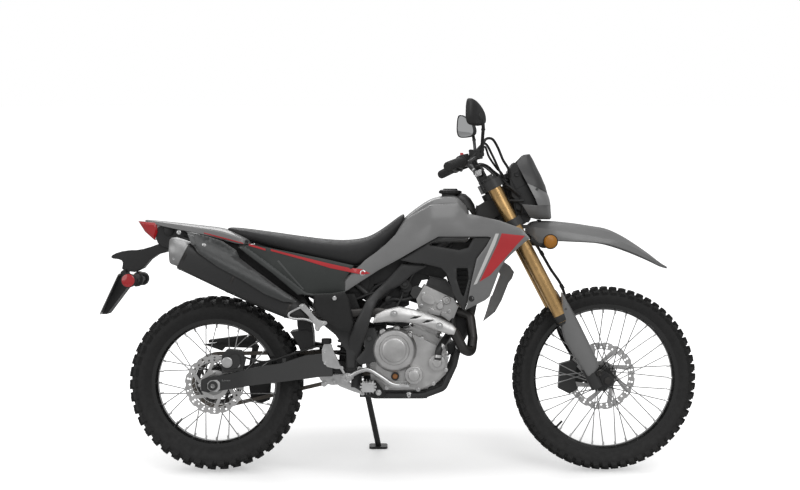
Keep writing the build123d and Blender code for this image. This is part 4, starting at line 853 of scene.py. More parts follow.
def exhaust():
    """The muffler with its bands and end cap, its guard, the header's heat shield and their bolts."""
    up = MUFFLER_WAY.cross(Y).normalized()
    up = up if up.z > 0 else -up
    body = Shape()
    # distance along, half width, half height, how square
    rows = [
        (0, 22, 22, 2), (14, 27, 27, 2), (64, 38, 41, 2.2), (150, 43, 48, 2.6), (300, 45, 52, 2.8),
        (MUFFLER_LENGTH, 45, 55, 2.8),
    ]
    rings = []
    for along, wide, high, square in rows:
        ring = []
        for a in around(32):
            c, d = (math.copysign(abs(part) ** (2 / square), part) for part in (math.cos(a), math.sin(a)))
            ring.append(MUFFLER_FRONT + MUFFLER_WAY * along + Y * wide * c + up * high * d)
        rings.append(ring)
    body.loft(rings)
    for along in (70, 300, 492):
        wide, high = (39.5, 42.5) if along < 100 else (46.5, 53.5 if along < 400 else 56.5)
        band = [
            [
                MUFFLER_FRONT + MUFFLER_WAY * (along + step) + (
                    Y * wide * math.cos(a) + up * high * math.sin(a)
                ) * size
                for a in around(32)
            ]
            for step, size in ((-5, 0.97), (-4, 1.0), (4, 1.0), (5, 0.97))
        ]
        body.loft(band, mark=1)
    end = MUFFLER_FRONT + MUFFLER_WAY * MUFFLER_LENGTH
    cap = [[
        end + MUFFLER_WAY * step + (Y * 46 * math.cos(a) + up * 56 * math.sin(a)) * size
        for a in around(32)
    ] for step, size in ((0, 0.96), (2, 1.0))]
    for x, z, wide, high in (
        (-128, 822, 44, 53), (-147, 824, 40, 49), (-153, 824, 36, 44), (-153, 822, 28, 34),
        (-143, 820, 22, 25), (-141, 820, 3, 3),
    ):
        cap.append([
            Vector((x, end.y + wide * math.cos(a), z + high * math.sin(a)))
            for a in around(32)
        ])
    body.loft(cap, mark=2)
    body.turn(
        (-134, end.y + 4, 816), BACK, [(0, 16), (18, 16), (19, 14.5), (19, 13), (4, 13), (4, 2)], 28, 1,
    )
    body.make(
        "muffler_body", [black_paint, dark_steel, satin_end], "chassis", "muffler_black", "muffler",
        smooth_angle=35,
    )
    guard = Shape().sheet(
        MUFFLER_GUARD, lambda x, z: muffler_face(x, z) - 4, 3.5, step=13, roll=5, roll_width=9,
    )
    guard.sheet(
        [(-85, 885), (-62, 880), (-52, 848), (-66, 848)], lambda x, z: muffler_face(x, z) - 7.5, 3,
        roll=1,
    )
    vents = Shape()
    for outline in GUARD_SLOTS:
        vents.sheet(outline, lambda x, z: muffler_face(x, z) - 4.4, 1.2, step=9, roll=0.3, roll_width=1)
    vents.make("guard_vents", black_plastic, "chassis", "dark_plastic")
    guard.make("muffler_guard", shield_dark, "chassis", "dark_plastic", "exhaust_shields")
    heat = Shape().sheet(
        HEAT_SHIELD, lambda x, z: shield_face(x, z), 3, SHIELD_SLOTS, step=6, roll=4, roll_width=8,
    )
    heat.make("header_shield", shield_steel, "chassis", "bright_steel")
    liner = Shape().sheet(
        [(715, 568), (712, 596), (790, 584), (824, 574), (822, 556), (770, 558)],
        lambda x, z: shield_face(x, z) + 9, 2, step=14, roll=1,
    )
    liner.make("header_shield_liner", black_paint, "chassis", "muffler_black")
    bolts = Shape()
    for x, z in ((667, 595), (833, 551)):
        bolts.turn(
            (x, shield_face(x, z) - 2, z), RIGHT,
            [(0, 13), (2.4, 13), (2.4, 10), (1, 10), (1, 8), (4, 8), (5, 6), (5, 0)], 28,
        )
        bolts.bolt((x, shield_face(x, z) - 6, z), RIGHT, 5, 4)
        bolts.turn((x, -143, z), RIGHT, [(0, 7), (22, 7)], 14)
    bolts.bolt((-25, muffler_face(-25, 845) - 2, 845), RIGHT, 6, 5)
    bolts.bolt((-134, -184, 798), RIGHT, 5, 5)
    bolts.make("exhaust_bolts", bright_alloy, "chassis", "bright_steel", smooth_angle=30)


MUFFLER_GUARD = [
    (-91, 896), (-12, 877), (39, 860), (89, 827), (101, 799), (168, 749), (298, 654), (312, 639),
    (292, 638), (264, 640), (196, 668), (112, 721), (28, 766), (-46, 819), (-66, 851),
]
GUARD_SLOTS = [
    [(70, 806), (84, 806), (150, 757), (141, 755)], [(180, 734), (190, 735), (238, 698), (230, 696)],
]
HEAT_SHIELD = [
    (588, 561), (600, 593), (634, 610), (685, 622), (743, 610), (800, 592), (848, 574), (882, 556),
    (895, 540), (886, 518), (865, 519), (806, 539), (760, 555), (701, 563), (638, 565),
]
SHIELD_SLOTS = [
    [(724, 576), (747, 577), (766, 585), (742, 586)], [(769, 561), (791, 563), (812, 571), (787, 572)],
]
SHIELD_LINE = [(588, 572), (640, 586), (690, 592), (743, 583), (800, 564), (848, 545), (895, 524)]


def shield_face(x, z):
    """The half-round face of the header's heat shield."""
    gaps = []
    for (x0, z0), (x1, z1) in zip(SHIELD_LINE, SHIELD_LINE[1:]):
        share = min(1, max(
            0, ((x - x0) * (x1 - x0) + (z - z0) * (z1 - z0)) / ((x1 - x0) ** 2 + (z1 - z0) ** 2),
        ))
        gaps.append(math.hypot(x - x0 - share * (x1 - x0), z - z0 - share * (z1 - z0)))
    return -170 + 0.021 * min(gaps) ** 2


shield_dark = grained("shield_dark", (0.034, 0.036, 0.036), 0.34, 900, 0.00003, worn=(0.09, 0.09, 0.09))
exhaust()


# ================================================================ fork, fender and headlamp
def fork_covers():
    """The guards over the fork's lower tubes, with bolts, top caps and dust seals."""
    rows = [  # z, rear x, front x
        (672, 1281, 1289), (655, 1282, 1299), (621, 1284, 1319), (579, 1282, 1343), (526, 1281, 1369),
        (484, 1299, 1390), (440, 1325, 1411), (400, 1351, 1430), (380, 1364, 1420), (358, 1379, 1390),
    ]
    guards = Shape()
    for way in (-1, 1):
        rings = []
        for z, rear, front in rows:
            wide = min(1, (front - rear) / 60)
            mid = (rear + front) / 2
            outer = [
                (front - 7, 80 + 4 * (1 - wide)), (front - 1, 92), (front - 2, 108),
                (front - 0.2 * (front - rear), 121), (mid, 125), (rear + 0.16 * (front - rear), 121),
                (rear + 1, 108), (rear + 4, 94),
            ]
            inner = [(x + (mid - x) * 0.1, 103 + (y - 103) * 0.84) for x, y in reversed(outer)]
            rings.append([Vector((x, way * y, z)) for x, y in outer + inner])
        guards.loft(rings, creases=((3, 0.5), (0, 1), (7, 1)))
    guards.make("leg_guards", grey_body, "steering", "grey_plastic", "fork_guards", subdivide=2)
    fasteners = Shape()
    for way in (-1, 1):
        fasteners.turn((1424, way * 117, 374), (0, way, 0), [(0, 11), (6, 11), (7, 8), (4, 5), (4, 0)], 18)
        fasteners.bolt((1300, way * 121, 610), (0, way, 0), 4, 3)
        for up in (-790, -806):
            fasteners.bolt(steer(46, way * FORK_HALF, up), STEER_FORWARD, 4.5, 5)
        fasteners.turn(FRONT_AXLE + Y * (117 * way), (0, way, 0), [(0, 14), (2.6, 14), (3, 12)], 6)
        for clamp_up in (17, -145):
            fasteners.bolt(
                steer(FORK_OFFSET - 34, way * (FORK_HALF + 12), clamp_up), -STEER_FORWARD, 4.5, 5,
            )
    fasteners.turn(steer(0, 0, 36), STEER_UP, [(0, 17), (9, 17), (10, 15), (10, 0)], 6)
    fasteners.make("fork_fasteners", dark_steel, "steering", "bright_steel", smooth_angle=30)
    caps = Shape()
    for way in (-1, 1):
        caps.turn(
            steer(FORK_OFFSET, way * FORK_HALF, 30), STEER_UP, [(0, 27.5), (14, 27.5), (16, 25), (16, 0)],
            32,
        )
        caps.turn(steer(FORK_OFFSET, way * FORK_HALF, 46), STEER_UP, [(0, 15), (7, 15), (8, 13), (8, 0)], 6)
        seal = steer(FORK_OFFSET, way * FORK_HALF, -552)
        caps.turn(seal, -STEER_UP, [(-26, 26.6), (-2, 26.6), (2, 25), (9, 24), (10, 21.5), (-26, 21.5)], 32)
    caps.make("fork_caps", engine_black, "steering", "leg_black", smooth_angle=30)


def fender():
    """The long front mudguard, and the stay that carries it."""
    rows = [  # x, crown z, ridge half width, ridge z, low half width, low z
        (1156, 918, 26, 906, 32, 892), (1177, 933, 44, 914, 52, 878), (1213, 936, 58, 910, 68, 851),
        (1254, 935, 66, 905, 78, 862), (1331, 927, 72, 893, 84, 860), (1390, 918, 73, 883, 83, 857),
        (1447, 908, 70, 871, 78, 851), (1499, 886, 64, 861, 71, 837), (1552, 854, 55, 839, 61, 817),
        (1612, 812, 42, 804, 46, 790), (1655, 778, 27, 775, 29, 767), (1676, 763, 12, 762, 13, 759),
    ]
    shell = Shape()
    rings = []
    first = flowing([row[:3] for row in rows], 4)
    second = flowing([row[3:] for row in rows], 4)
    for (x, crown, ridge_half), (ridge_z, low_half, low_z) in zip(first, second):
        _, crown = to_middle(x, crown)
        outer = [
            (low_half, low_z), (0.985 * low_half, 0.55 * low_z + 0.45 * ridge_z),
            (ridge_half + 3, ridge_z - 2), (ridge_half - 4, ridge_z + 1),
            (0.62 * ridge_half, ridge_z + 0.72 * (crown - ridge_z)), (0.3 * ridge_half, crown - 1),
            (0, crown - 2),
        ]
        outer += [(-y, z) for y, z in outer[-2::-1]]
        inner = [(y * 0.94, z - 3.5) for y, z in reversed(outer)]
        rings.append([
            Vector((EYE_X + (x - EYE_X) * (TO_MIDDLE - 0.00018 * abs(y)), y, z)) for y, z in outer + inner
        ])
    shell.loft(rings)
    shell.make("front_mudguard", grey_body, "steering", "grey_plastic", "front_fender", smooth_angle=24)
    stay = Shape().block(steer(22, 0, -160), (96, 80, 20), STEER_FORWARD, STEER_UP)
    stay.block((1190, 0, 915), (110, 62, 14), (1, 0, 0.06))
    for way in (-1, 1):
        stay.bolt((1212, way * 30, 936), (0.05, 0, 1), 5, 4)
        stay.bolt((1168, way * 26, 930), (-0.1, 0, 1), 5, 4)
    stay.make("mudguard_stay", engine_black, "steering", "leg_black", smooth_angle=30)


def shell_rows(rows, wall, points=17):
    """Rings of a shell wrapped round the front: rows of rear (x, z), front (x, z), half width, fullness."""
    rings = []
    for (rear_x, rear_z), (front_x, front_z), half, full in rows:
        front_x, front_z = to_middle(front_x, front_z)
        outer, inner = [], []
        for k in range(points):
            a = math.pi * (k / (points - 1) - 0.5)
            ahead = abs(math.cos(a)) ** full
            for ring, inset in ((outer, 0), (inner, wall)):
                x = rear_x + (front_x - inset - rear_x) * ahead
                z = rear_z + (front_z - rear_z) * ahead
                ring.append(Vector((x, (half - inset) * math.sin(a), z)))
        rings.append(outer + inner[::-1])
    return rings


def headlamp():
    """The nose cowl, its screen, the lamp, the instrument and the amber signals."""
    mask_rows = [
        ((1205, 941), (1243, 940), 30, 0.8), ((1172, 950), (1249, 946), 64, 0.7),
        ((1152, 978), (1247, 962), 92, 0.6), ((1140, 996), (1245, 982), 104, 0.55),
        ((1199, 992), (1244, 992), 99, 0.55), ((1190, 1015), (1241, 1010), 102, 0.55),
        ((1177, 1041), (1237, 1024), 100, 0.55), ((1160, 1074), (1233, 1036), 95, 0.6),
    ]
    mask = Shape().loft(shell_rows(mask_rows, 4))
    mask.make("nose_cowl", grey_body, "steering", "grey_plastic", "headlight_mask", smooth_angle=35)
    screen_rows = [
        ((1160, 1074), (1233, 1036), 95, 0.5), ((1150, 1092), (1226, 1062), 93, 0.45),
        ((1138, 1117), (1209, 1102), 84, 0.4), ((1124, 1146), (1192, 1136), 70, 0.4),
        ((1126, 1156), (1182, 1158), 58, 0.4), ((1150, 1182), (1169, 1181), 36, 0.5),
    ]
    screen = Shape().loft(shell_rows(screen_rows, 4))
    screen.make("dark_screen", dark_gloss, "steering", "black_plastic", smooth_angle=35)
    trim = Shape()
    for way in (-1, 1):
        trim.hose([
            (1172, way * 93, 1070), (1196, way * 80, 1092), (1186, way * 66, 1128),
            (1166, way * 44, 1164),
        ], 2.2, 8)
        trim.turn((1124, way * 60, 1108), (0, way, 0), [(-30, 9), (2, 9), (3, 7), (1, 5), (1, 0)], 20)
        trim.bolt((1196, way * 95, 1052), (0.4, way, 0.2), 4, 3)
    trim.make("screen_trim", trim_grey, "steering", "black_plastic", smooth_angle=30)
    lens_rows = [
        ((1212, 962), (1244, 961), 50, 0.5), ((1210, 972), (1246, 972), 58, 0.45),
        ((1206, 992), (1245, 992), 62, 0.42), ((1204, 1014), (1241, 1015), 60, 0.42),
        ((1202, 1026), (1237, 1028), 52, 0.45),
    ]
    lens = Shape().loft(shell_rows(lens_rows, 3, 13))
    for level in (966, 980, 994, 1008):
        lens.block((1243, 0, level), (7, 84, 2.2))
    lens.make("lamp_lens", lens_clear, "steering", "lens_clear", "headlight_lens", smooth_angle=40)
    rim = Shape().loft(shell_rows([
        ((1200, 952), (1237, 951), 56, 0.5), ((1198, 970), (1240, 968), 66, 0.45),
        ((1196, 992), (1239, 991), 70, 0.42), ((1194, 1014), (1235, 1016), 68, 0.42),
        ((1192, 1032), (1230, 1034), 56, 0.45),
    ], 8, 13))
    rim.make("lamp_bezel", black_plastic, "steering", "black_plastic", smooth_angle=40)
    dash = Shape().block((1108, 0, 1120), (22, 112, 64), (0.9, 0, -0.45), (0.45, 0, 0.9))
    dash.loft([
        [
            Vector((1124 + 14 * s, y * s2, z))
            for y, z in ((-58, 1060), (58, 1060), (50, 1150), (-50, 1150))
        ]
        for s, s2 in ((0, 1), (1, 1), (2, 0.9))
    ])
    for stay in (-42, 42):
        dash.tube([steer(30, stay, 16), Vector((1110, stay, 1090))], 8, 12)
        dash.tube([steer(40, stay * 1.6, -60), Vector((1150, stay * 1.8, 1010))], 6, 10)
    dash.make(
        "instrument_case", black_plastic, "steering", "black_plastic", "instrument", smooth_angle=30,
        bevel=2.5,
    )
    glass = Shape().block((1097, 0, 1126), (3, 92, 44), (0.9, 0, -0.45), (0.45, 0, 0.9))
    glass.make("instrument_glass", gloss_black, "steering", "black_plastic", bevel=1)
    lamps, rims = Shape(), Shape()
    for way in (-1, 1):
        at = (1243, way * 112, 858)
        lamps.turn(at, (0, way, 0), [(2, 24), (14, 25), (20, 23), (25, 16), (27, 8), (27, 0)], 32)
        rims.turn(
            at, (0, way, 0), [(-6, 12), (-2, 22), (0, 27), (13, 28), (15, 27), (15, 25.5), (4, 25)], 32,
        )
        rims.hose([
            (1170, way * 122, 868), (1200, way * 112, 846), (1228, way * 106, 852),
            (1243, way * 107, 858),
        ], 6.5, 12)
    lamps.make("amber_lenses", lens_amber, "steering", "lens_amber", "front_signals")
    rims.make("lamp_rims", black_plastic, "steering", "black_plastic", smooth_angle=35)


fork_covers()
fender()
headlamp()


# ================================================================ handlebar
BAR_BEND, BAR_END = Vector((948, 180, 1165)), Vector((855, 410, 1123))
BAR_WAY = (BAR_END - BAR_BEND).normalized()


def on_bar(way, y):
    """The bar's middle line at this distance out, and its direction outwards."""
    point = BAR_BEND + (BAR_END - BAR_BEND) * ((y - BAR_BEND.y) / (BAR_END.y - BAR_BEND.y))
    return Vector((point.x, way * point.y, point.z)), Vector((BAR_WAY.x, way * BAR_WAY.y, BAR_WAY.z))


def bars():
    """Grips, switches, levers and their reservoir, and the clamps that hold the bar."""
    holds = Shape()
    for way in (-1, 1):
        start, out = on_bar(way, 284)
        profile = [(-4, 12), (-4, 21), (0, 22), (2, 21), (4, 17)]
        for k in range(13):
            profile += [(7 + 9 * k, 16.6), (8 + 9 * k, 17.4), (13 + 9 * k, 17.4), (14 + 9 * k, 16.4)]
        profile += [(134, 17), (137, 15), (138, 11), (138, 0)]
        holds.turn(start, out, profile, 28)
    holds.make("ribbed_grips", rubber, "steering", "hose_rubber", "grips", smooth_angle=28)
    controls = Shape()
    up = Vector((-0.25, 0, 1)).normalized()
    for way in (-1, 1):
        at, out = on_bar(way, 262)
        ahead = up.cross(out) * (1 if way < 0 else -1)
        controls.turn(at - out * 18, out, [(0, 12), (0, 19), (3, 21), (33, 21), (36, 19), (36, 12)], 24)
        controls.block(at + up * 4 + ahead * 8, (30, 34, 34), ahead, up, taper=0.85)
        perch, _ = on_bar(way, 228)
        controls.turn(perch - out * 10, out, [(0, 12), (0, 16), (20, 16), (20, 12)], 20)
        controls.block(perch + ahead * 20, (30, 20, 15), ahead, up, taper=0.9)
        pivot = perch + ahead * 32 + out * 2
        controls.turn(pivot - up * 9, up, [(0, 0), (0, 8), (18, 8), (18, 0)], 16, 1)
        blade = flowing([
            pivot + out * 2, pivot + out * 26 + ahead * 12 - up * 1, pivot + out * 76 + ahead * 22 - up * 3,
            pivot + out * 120 + ahead * 24 - up * 6, pivot + out * 136 + ahead * 30 - up * 6,
        ], 5)
        controls.tube(blade, [7 - 2.4 * k / (len(blade) - 1) for k in range(len(blade))], 10, 1)
        tip = blade[-1]
        controls.turn(tip - out * 8, out, [(0, 2), (2, 6), (8, 8.5), (14, 6), (16, 1)], 14, 1)
        for side in (-1, 1):
            controls.bolt(perch - ahead * 14 + up * 7 * side, -ahead, 3.4, 3, 1)
    at, out = on_bar(-1, 262)
    controls.block(at + up * 25 + X * 2, (13, 17, 9), X, up, 2, 0.8)
    controls.block(at + X * -17 - up * 8, (6, 12, 9), X, up, 1, 0.8)
    at, _ = on_bar(1, 262)
    for step, mark in ((-8, 1), (6, 1)):
        controls.block(at - X * 18 + up * step, (8, 13, 8), X, up, mark, 0.8)
    controls.block((958, -222, 1172), (36, 48, 26), taper=1.06)
    controls.block((958, -222, 1188), (40, 52, 6))
    controls.turn((941, -222, 1171), -X, [(0, 7), (3, 7), (3, 0)], 16, 1)
    for dx, dy in ((-13, -18), (-13, 18), (13, -18), (13, 18)):
        controls.turn((958 + dx, -222 + dy, 1190), Z, [(0, 3.4), (2, 3.4), (2, 0)], 10, 1)
    controls.make(
        "switches_and_levers", [black_plastic, engine_black, red_plastic], "steering", "black_plastic",
        "bar_controls", smooth_angle=35, bevel=1.6,
    )
    clamp = Shape()
    for y in (-38, 38):
        clamp.block(steer(4, y, 88), (40, 28, 18), STEER_FORWARD, STEER_UP, taper=0.8)
        for ahead in (-13, 13):
            clamp.bolt(steer(4 + ahead, y, 96), STEER_UP, 4.5, 6, 1)
    clamp.block((976, -140, 1110), (26, 14, 22), (1, 0, 0.3), mark=1, taper=0.9)
    clamp.turn((976, -144, 1110), RIGHT, [(0, 9), (7, 9), (9, 7), (9, 3), (6, 3)], 20, 1)
    clamp.turn(steer(4, 0, 74) + Y * -30, Y, [(0, 13), (60, 13)], 20)
    clamp.make(
        "bar_clamps", [engine_black, bright_alloy], "steering", "black_frame", smooth_angle=32, bevel=1.5,
    )


def mirrors():
    """The pair of mirrors: shell, stem and glass."""
    yaw = math.radians(32)
    along, deep = Vector((math.sin(yaw), math.cos(yaw), 0)), Vector((math.cos(yaw), -math.sin(yaw), 0))
    outline = eased([
        (-57, 1378), (-38, 1386), (4, 1371), (48, 1342), (62, 1312), (52, 1290), (-40, 1288), (-60, 1304),
        (-64, 1332),
    ])
    middle = Vector((-2, 1334))

    def face(depth, size):
        return [
            Vector((950, -360, -20)) + along * (middle.x + (u - middle.x) * size) + Z * (
                middle.y + (v - middle.y) * size
            ) + deep * depth
            for u, v in outline
        ]

    shell = Shape().loft([
        face(3, 0.9), face(0, 0.94), face(0, 0.98), face(3, 1), face(12, 0.98), face(20, 0.88),
        face(25, 0.68), face(27, 0.4),
    ])
    shell.turn(Vector((950, -360, 1302)) + deep * 22, deep, [
        (-4, 16), (3, 15), (7, 11), (8, 0),
    ], 20)
    stem = flowing([
        (966, -232, 1166), (980, -236, 1176), (984, -250, 1206), (984, -296, 1240), (983, -344, 1270),
        (974, -360, 1300),
    ], 5)
    shell.tube(stem, 6.4, 12)
    shell.block((966, -230, 1164), (44, 22, 18), (1, 0, 0.2))
    shell.turn(
        (982, -236, 1168), (0.06, -0.1, 1),
        [(0, 10), (10, 11), (12, 9), (20, 9), (22, 10), (30, 9), (34, 6)], 18,
    )
    shell.turn(stem[-8], stem[-7] - stem[-8], [(-6, 6), (0, 8), (6, 6)], 16)
    shell.mirrored().make(
        "mirror_shells", black_plastic, "steering", "black_plastic", "mirrors", smooth_angle=40,
    )
    glass = Shape().loft([face(1.6, 0.9), face(1.2, 0.88)])
    glass.mirrored().make("mirror_glass", mirror_silver, "steering", "bright_steel")


def cables():
    """Control cables from the bar, and the hose down to the front brake."""
    routes = [
        [
            (968, -226, 1176), (990, -216, 1212), (1002, -200, 1232), (1026, -170, 1233),
            (1048, -130, 1206), (1070, -100, 1160), (1091, -80, 1128), (1104, -66, 1080),
            (1112, -60, 1010), (1122, -56, 960), (1140, -56, 905),
        ],
        [
            (940, -250, 1150), (972, -236, 1196), (999, -206, 1214), (1027, -160, 1174),
            (1057, -110, 1118), (1080, -70, 1078), (1092, -50, 1030),
        ],
        [
            (938, -262, 1150), (968, -240, 1184), (996, -210, 1203), (1015, -160, 1168),
            (1046, -100, 1130), (1070, -60, 1108), (1084, -40, 1064),
        ],
        [
            (978, 216, 1150), (1010, 180, 1156), (1051, 120, 1124), (1106, 70, 1075), (1131, 60, 1036),
            (1146, 56, 1004), (1130, 52, 960),
        ],
        [
            (934, 262, 1140), (976, 210, 1152), (1012, 150, 1146), (1051, 100, 1110), (1094, 70, 1072),
            (1119, 60, 1026), (1128, 56, 990),
        ],
        [
            (960, -200, 1130), (1004, -120, 1140), (1050, -90, 1104), (1098, -76, 1060),
            (1136, -66, 1020), (1150, -60, 990),
        ],
    ]
    run = Shape()
    for route, size in zip(routes, (5, 4.6, 4.2, 5, 4.2, 4.6)):
        run.tube(flowing(route, 6), size, 9)
    run.make("bar_cables", rubber, "steering", "hose_rubber", "control_cables")
    hose = Shape().hose([
        (1136, 34, 906), (1172, 44, 882), (1212, 52, 836), (1262, 60, 752), (1306, 66, 684),
        (1330, 66, 590), (1340, 66, 500), (1344, 68, 440), (1340, 66, 400),
    ], 5.6, 10)
    for place in ((1306, 66, 684), (1228, 56, 812)):
        hose.block(place, (18, 16, 14), (0.5, 0, -0.86), (0.86, 0, 0.5))
    hose.make("front_brake_hose", rubber, "steering", "hose_rubber", "brake_hose", smooth_angle=40)


mirror_silver = Finish("mirror_silver", (0.78, 0.79, 0.80), 0.05, 1.0)
mirror_silver.set(Roughness=mirror_silver.span(mirror_silver.noise(30), 0.3, 0.7, 0.03, 0.07))
bars()
mirrors()
cables()


# ================================================================ engine
CLUTCH_X, CLUTCH_Z = 668, 460
FILTER_X, FILTER_Z = 740, 366
PUMP_X, PUMP_Z = 826, 412
GENERATOR_X, GENERATOR_Z = 745, 405
CASE_EDGE = [
    (606, 452), (600, 372), (640, 318), (756, 312), (812, 334), (858, 384), (862, 430), (832, 470),
    (770, 500), (728, 520), (672, 540), (622, 516),
]
GENERATOR_EDGE = [
    (672, 338), (756, 312), (812, 334), (858, 384), (858, 430), (820, 470), (745, 495), (684, 478),
    (674, 420),
]


def engine():
    """Bolts, turned covers, ribs and hoses over the engine's own cases."""
    bolts = Shape()
    for x, z in CASE_EDGE:
        bolts.bolt((x, -107, z), RIGHT, 4.6, 6)
    for x, z in GENERATOR_EDGE:
        bolts.bolt((x, 103, z), LEFT, 4.6, 6)
    for a in around(5, 0.3):
        bolts.bolt((CLUTCH_X + 63 * math.cos(a), -133, CLUTCH_Z + 63 * math.sin(a)), RIGHT, 4, 5)
    for a in around(3, 0.15):
        bolts.bolt((FILTER_X + 26 * math.cos(a), -126, FILTER_Z + 26 * math.sin(a)), RIGHT, 3.6, 4)
        bolts.bolt((PUMP_X + 24 * math.cos(a), -124, PUMP_Z + 24 * math.sin(a)), RIGHT, 3.6, 4)
        bolts.bolt((GENERATOR_X + 56 * math.cos(a), 126, GENERATOR_Z + 56 * math.sin(a)), LEFT, 4, 4)
    for x, z in ((776, 664), (840, 634), (768, 620), (872, 600), (800, 560), (740, 560)):
        bolts.bolt((x, -76, z), RIGHT, 5, 5)
    bolts.turn((450, -168, 652), RIGHT, [(0, 8), (7, 8), (9, 6), (9, 0)], 20)
    for x, z in ((610, 301), (540, 385), (905, 470), (722, 290)):
        bolts.bolt((x, -92, z), RIGHT, 8, 8)
    bolts.make("engine_bolts", bright_alloy, "chassis", "bright_steel", smooth_angle=30)

    covers = Shape()
    covers.turn((CLUTCH_X, 0, CLUTCH_Z), RIGHT, [
        (100, 82.5), (121, 82.5), (125, 79), (133, 75), (138, 70), (139, 56), (135, 52), (135, 47),
        (145, 45), (148, 42), (149, 38), (149, 0),
    ], 64)
    for a, size in ((2.15, 13), (1.45, 12), (0.75, 11)):
        covers.turn((CLUTCH_X + 78 * math.cos(a), 0, CLUTCH_Z + 78 * math.sin(a)), RIGHT, [
            (96, size), (126, size), (129, size - 3), (129, 0),
        ], 20)
    covers.turn(
        (FILTER_X, 0, FILTER_Z), RIGHT,
        [(100, 34), (126, 34), (129, 31), (129, 22), (136, 20), (137, 18), (137, 0)], 40,
    )
    covers.turn(
        (PUMP_X, 0, PUMP_Z), RIGHT,
        [(100, 31), (124, 31), (127, 28), (128, 17), (139, 15), (140, 13), (140, 0)], 36,
    )
    covers.turn(
        (GENERATOR_X, 0, GENERATOR_Z), LEFT,
        [(96, 68), (122, 68), (126, 64), (134, 52), (139, 49), (140, 46), (140, 0)], 48,
    )
    covers.turn((612, 0, 400), LEFT, [(94, 12), (96, 18), (100, 18), (100, 0)], 24)
    covers.prism(
        eased([(596, 452), (560, 440), (556, 372), (580, 346), (640, 344), (664, 380), (664, 452)], 2),
        97, 108,
    )
    covers.block((690, -104, 332), (62, 10, 26), (1, 0, 0.06))
    covers.block((640, -104, 412), (12, 10, 70), (0.1, 0, 1), (1, 0, 0))
    covers.make("turned_covers", cast_alloy, "chassis", "engine_silver", smooth_angle=32, bevel=0.8)

    ribs = Shape()
    lean = math.radians(25)
    upward = Vector((math.sin(lean), 0, math.cos(lean)))
    for k in range(5):
        ribs.block(
            Vector((775, 0, 505)) + upward * (14 + 12 * k), (120, 132, 3), (upward.z, 0, -upward.x),
            upward,
        )
    for x, z in ((795, 640), (838, 618), (806, 598), (852, 586)):
        ribs.turn((x, 0, z), RIGHT, [(60, 13), (77, 13), (79, 11), (79, 0)], 20)
    ribs.plate([(764, 640), (812, 618), (824, 646), (778, 670)], -77, -84)
    ribs.turn((862, 0, 640), RIGHT, [(60, 16), (80, 16), (84, 13), (84, 7), (90, 6), (90, 0)], 24)
    ribs.make("cylinder_ribs", cast_alloy, "chassis", "engine_silver", smooth_angle=32, bevel=0.8)

    dark = Shape()
    dark.prism([(786, 690), (801, 729), (864, 715), (894, 665), (890, 642)], -57, 57)
    dark.prism([(792, 702), (803, 722), (858, 710), (880, 668)], -62, 62)
    dark.turn((671, 0, 361), RIGHT, [(100, 15), (116, 15), (118, 13), (118, 11), (114, 11)], 24)
    dark.hose([
        (828, -134, 424), (832, -132, 460), (848, -112, 486), (872, -84, 520), (884, -60, 560),
        (880, -40, 610),
    ], 13, 14, steps=7)
    dark.hose([(700, -60, 668), (690, -76, 640), (664, -80, 600), (640, -80, 560), (632, -80, 520)], 4, 9)
    dark.hose([(720, -66, 700), (742, -78, 742), (800, -70, 786), (880, -56, 842)], 4, 9)
    dark.turn((706, 0, 700), RIGHT, [(40, 20), (72, 20), (75, 17), (75, 9), (79, 8), (79, 0)], 28)
    dark.plate([(724, 650), (782, 640), (790, 676), (738, 700)], -46, -66)
    dark.make("hoses_and_caps", engine_black, "chassis", "leg_black", smooth_angle=35)
    rings = Shape()
    for at, way, size in (
        ((829, -134, 436), (0.1, 0.1, 1), 14.6), ((878, -74, 540), (0.3, 0.6, 0.9), 14.6),
        ((862, 20, 470), Y, 28), ((885, -30, 606), (0.9, -0.1, -0.3), 27), ((360, -129, 586), X, 22.5),
    ):
        rings.turn(at, way, [(-5, size - 2), (-5, size), (5, size), (5, size - 2)], 24)
    rings.turn((671, 0, 361), RIGHT, [(100, 10), (115, 10), (116.5, 8), (116.5, 0)], 20, 1)
    rings.make("clamps_and_glass", [steel, amber_glass], "chassis", "bright_steel", smooth_angle=32)


amber_glass = grained("amber_glass", (0.30, 0.12, 0.03), 0.12, 200, 0.00002, Coat_Weight=0.6)
engine()


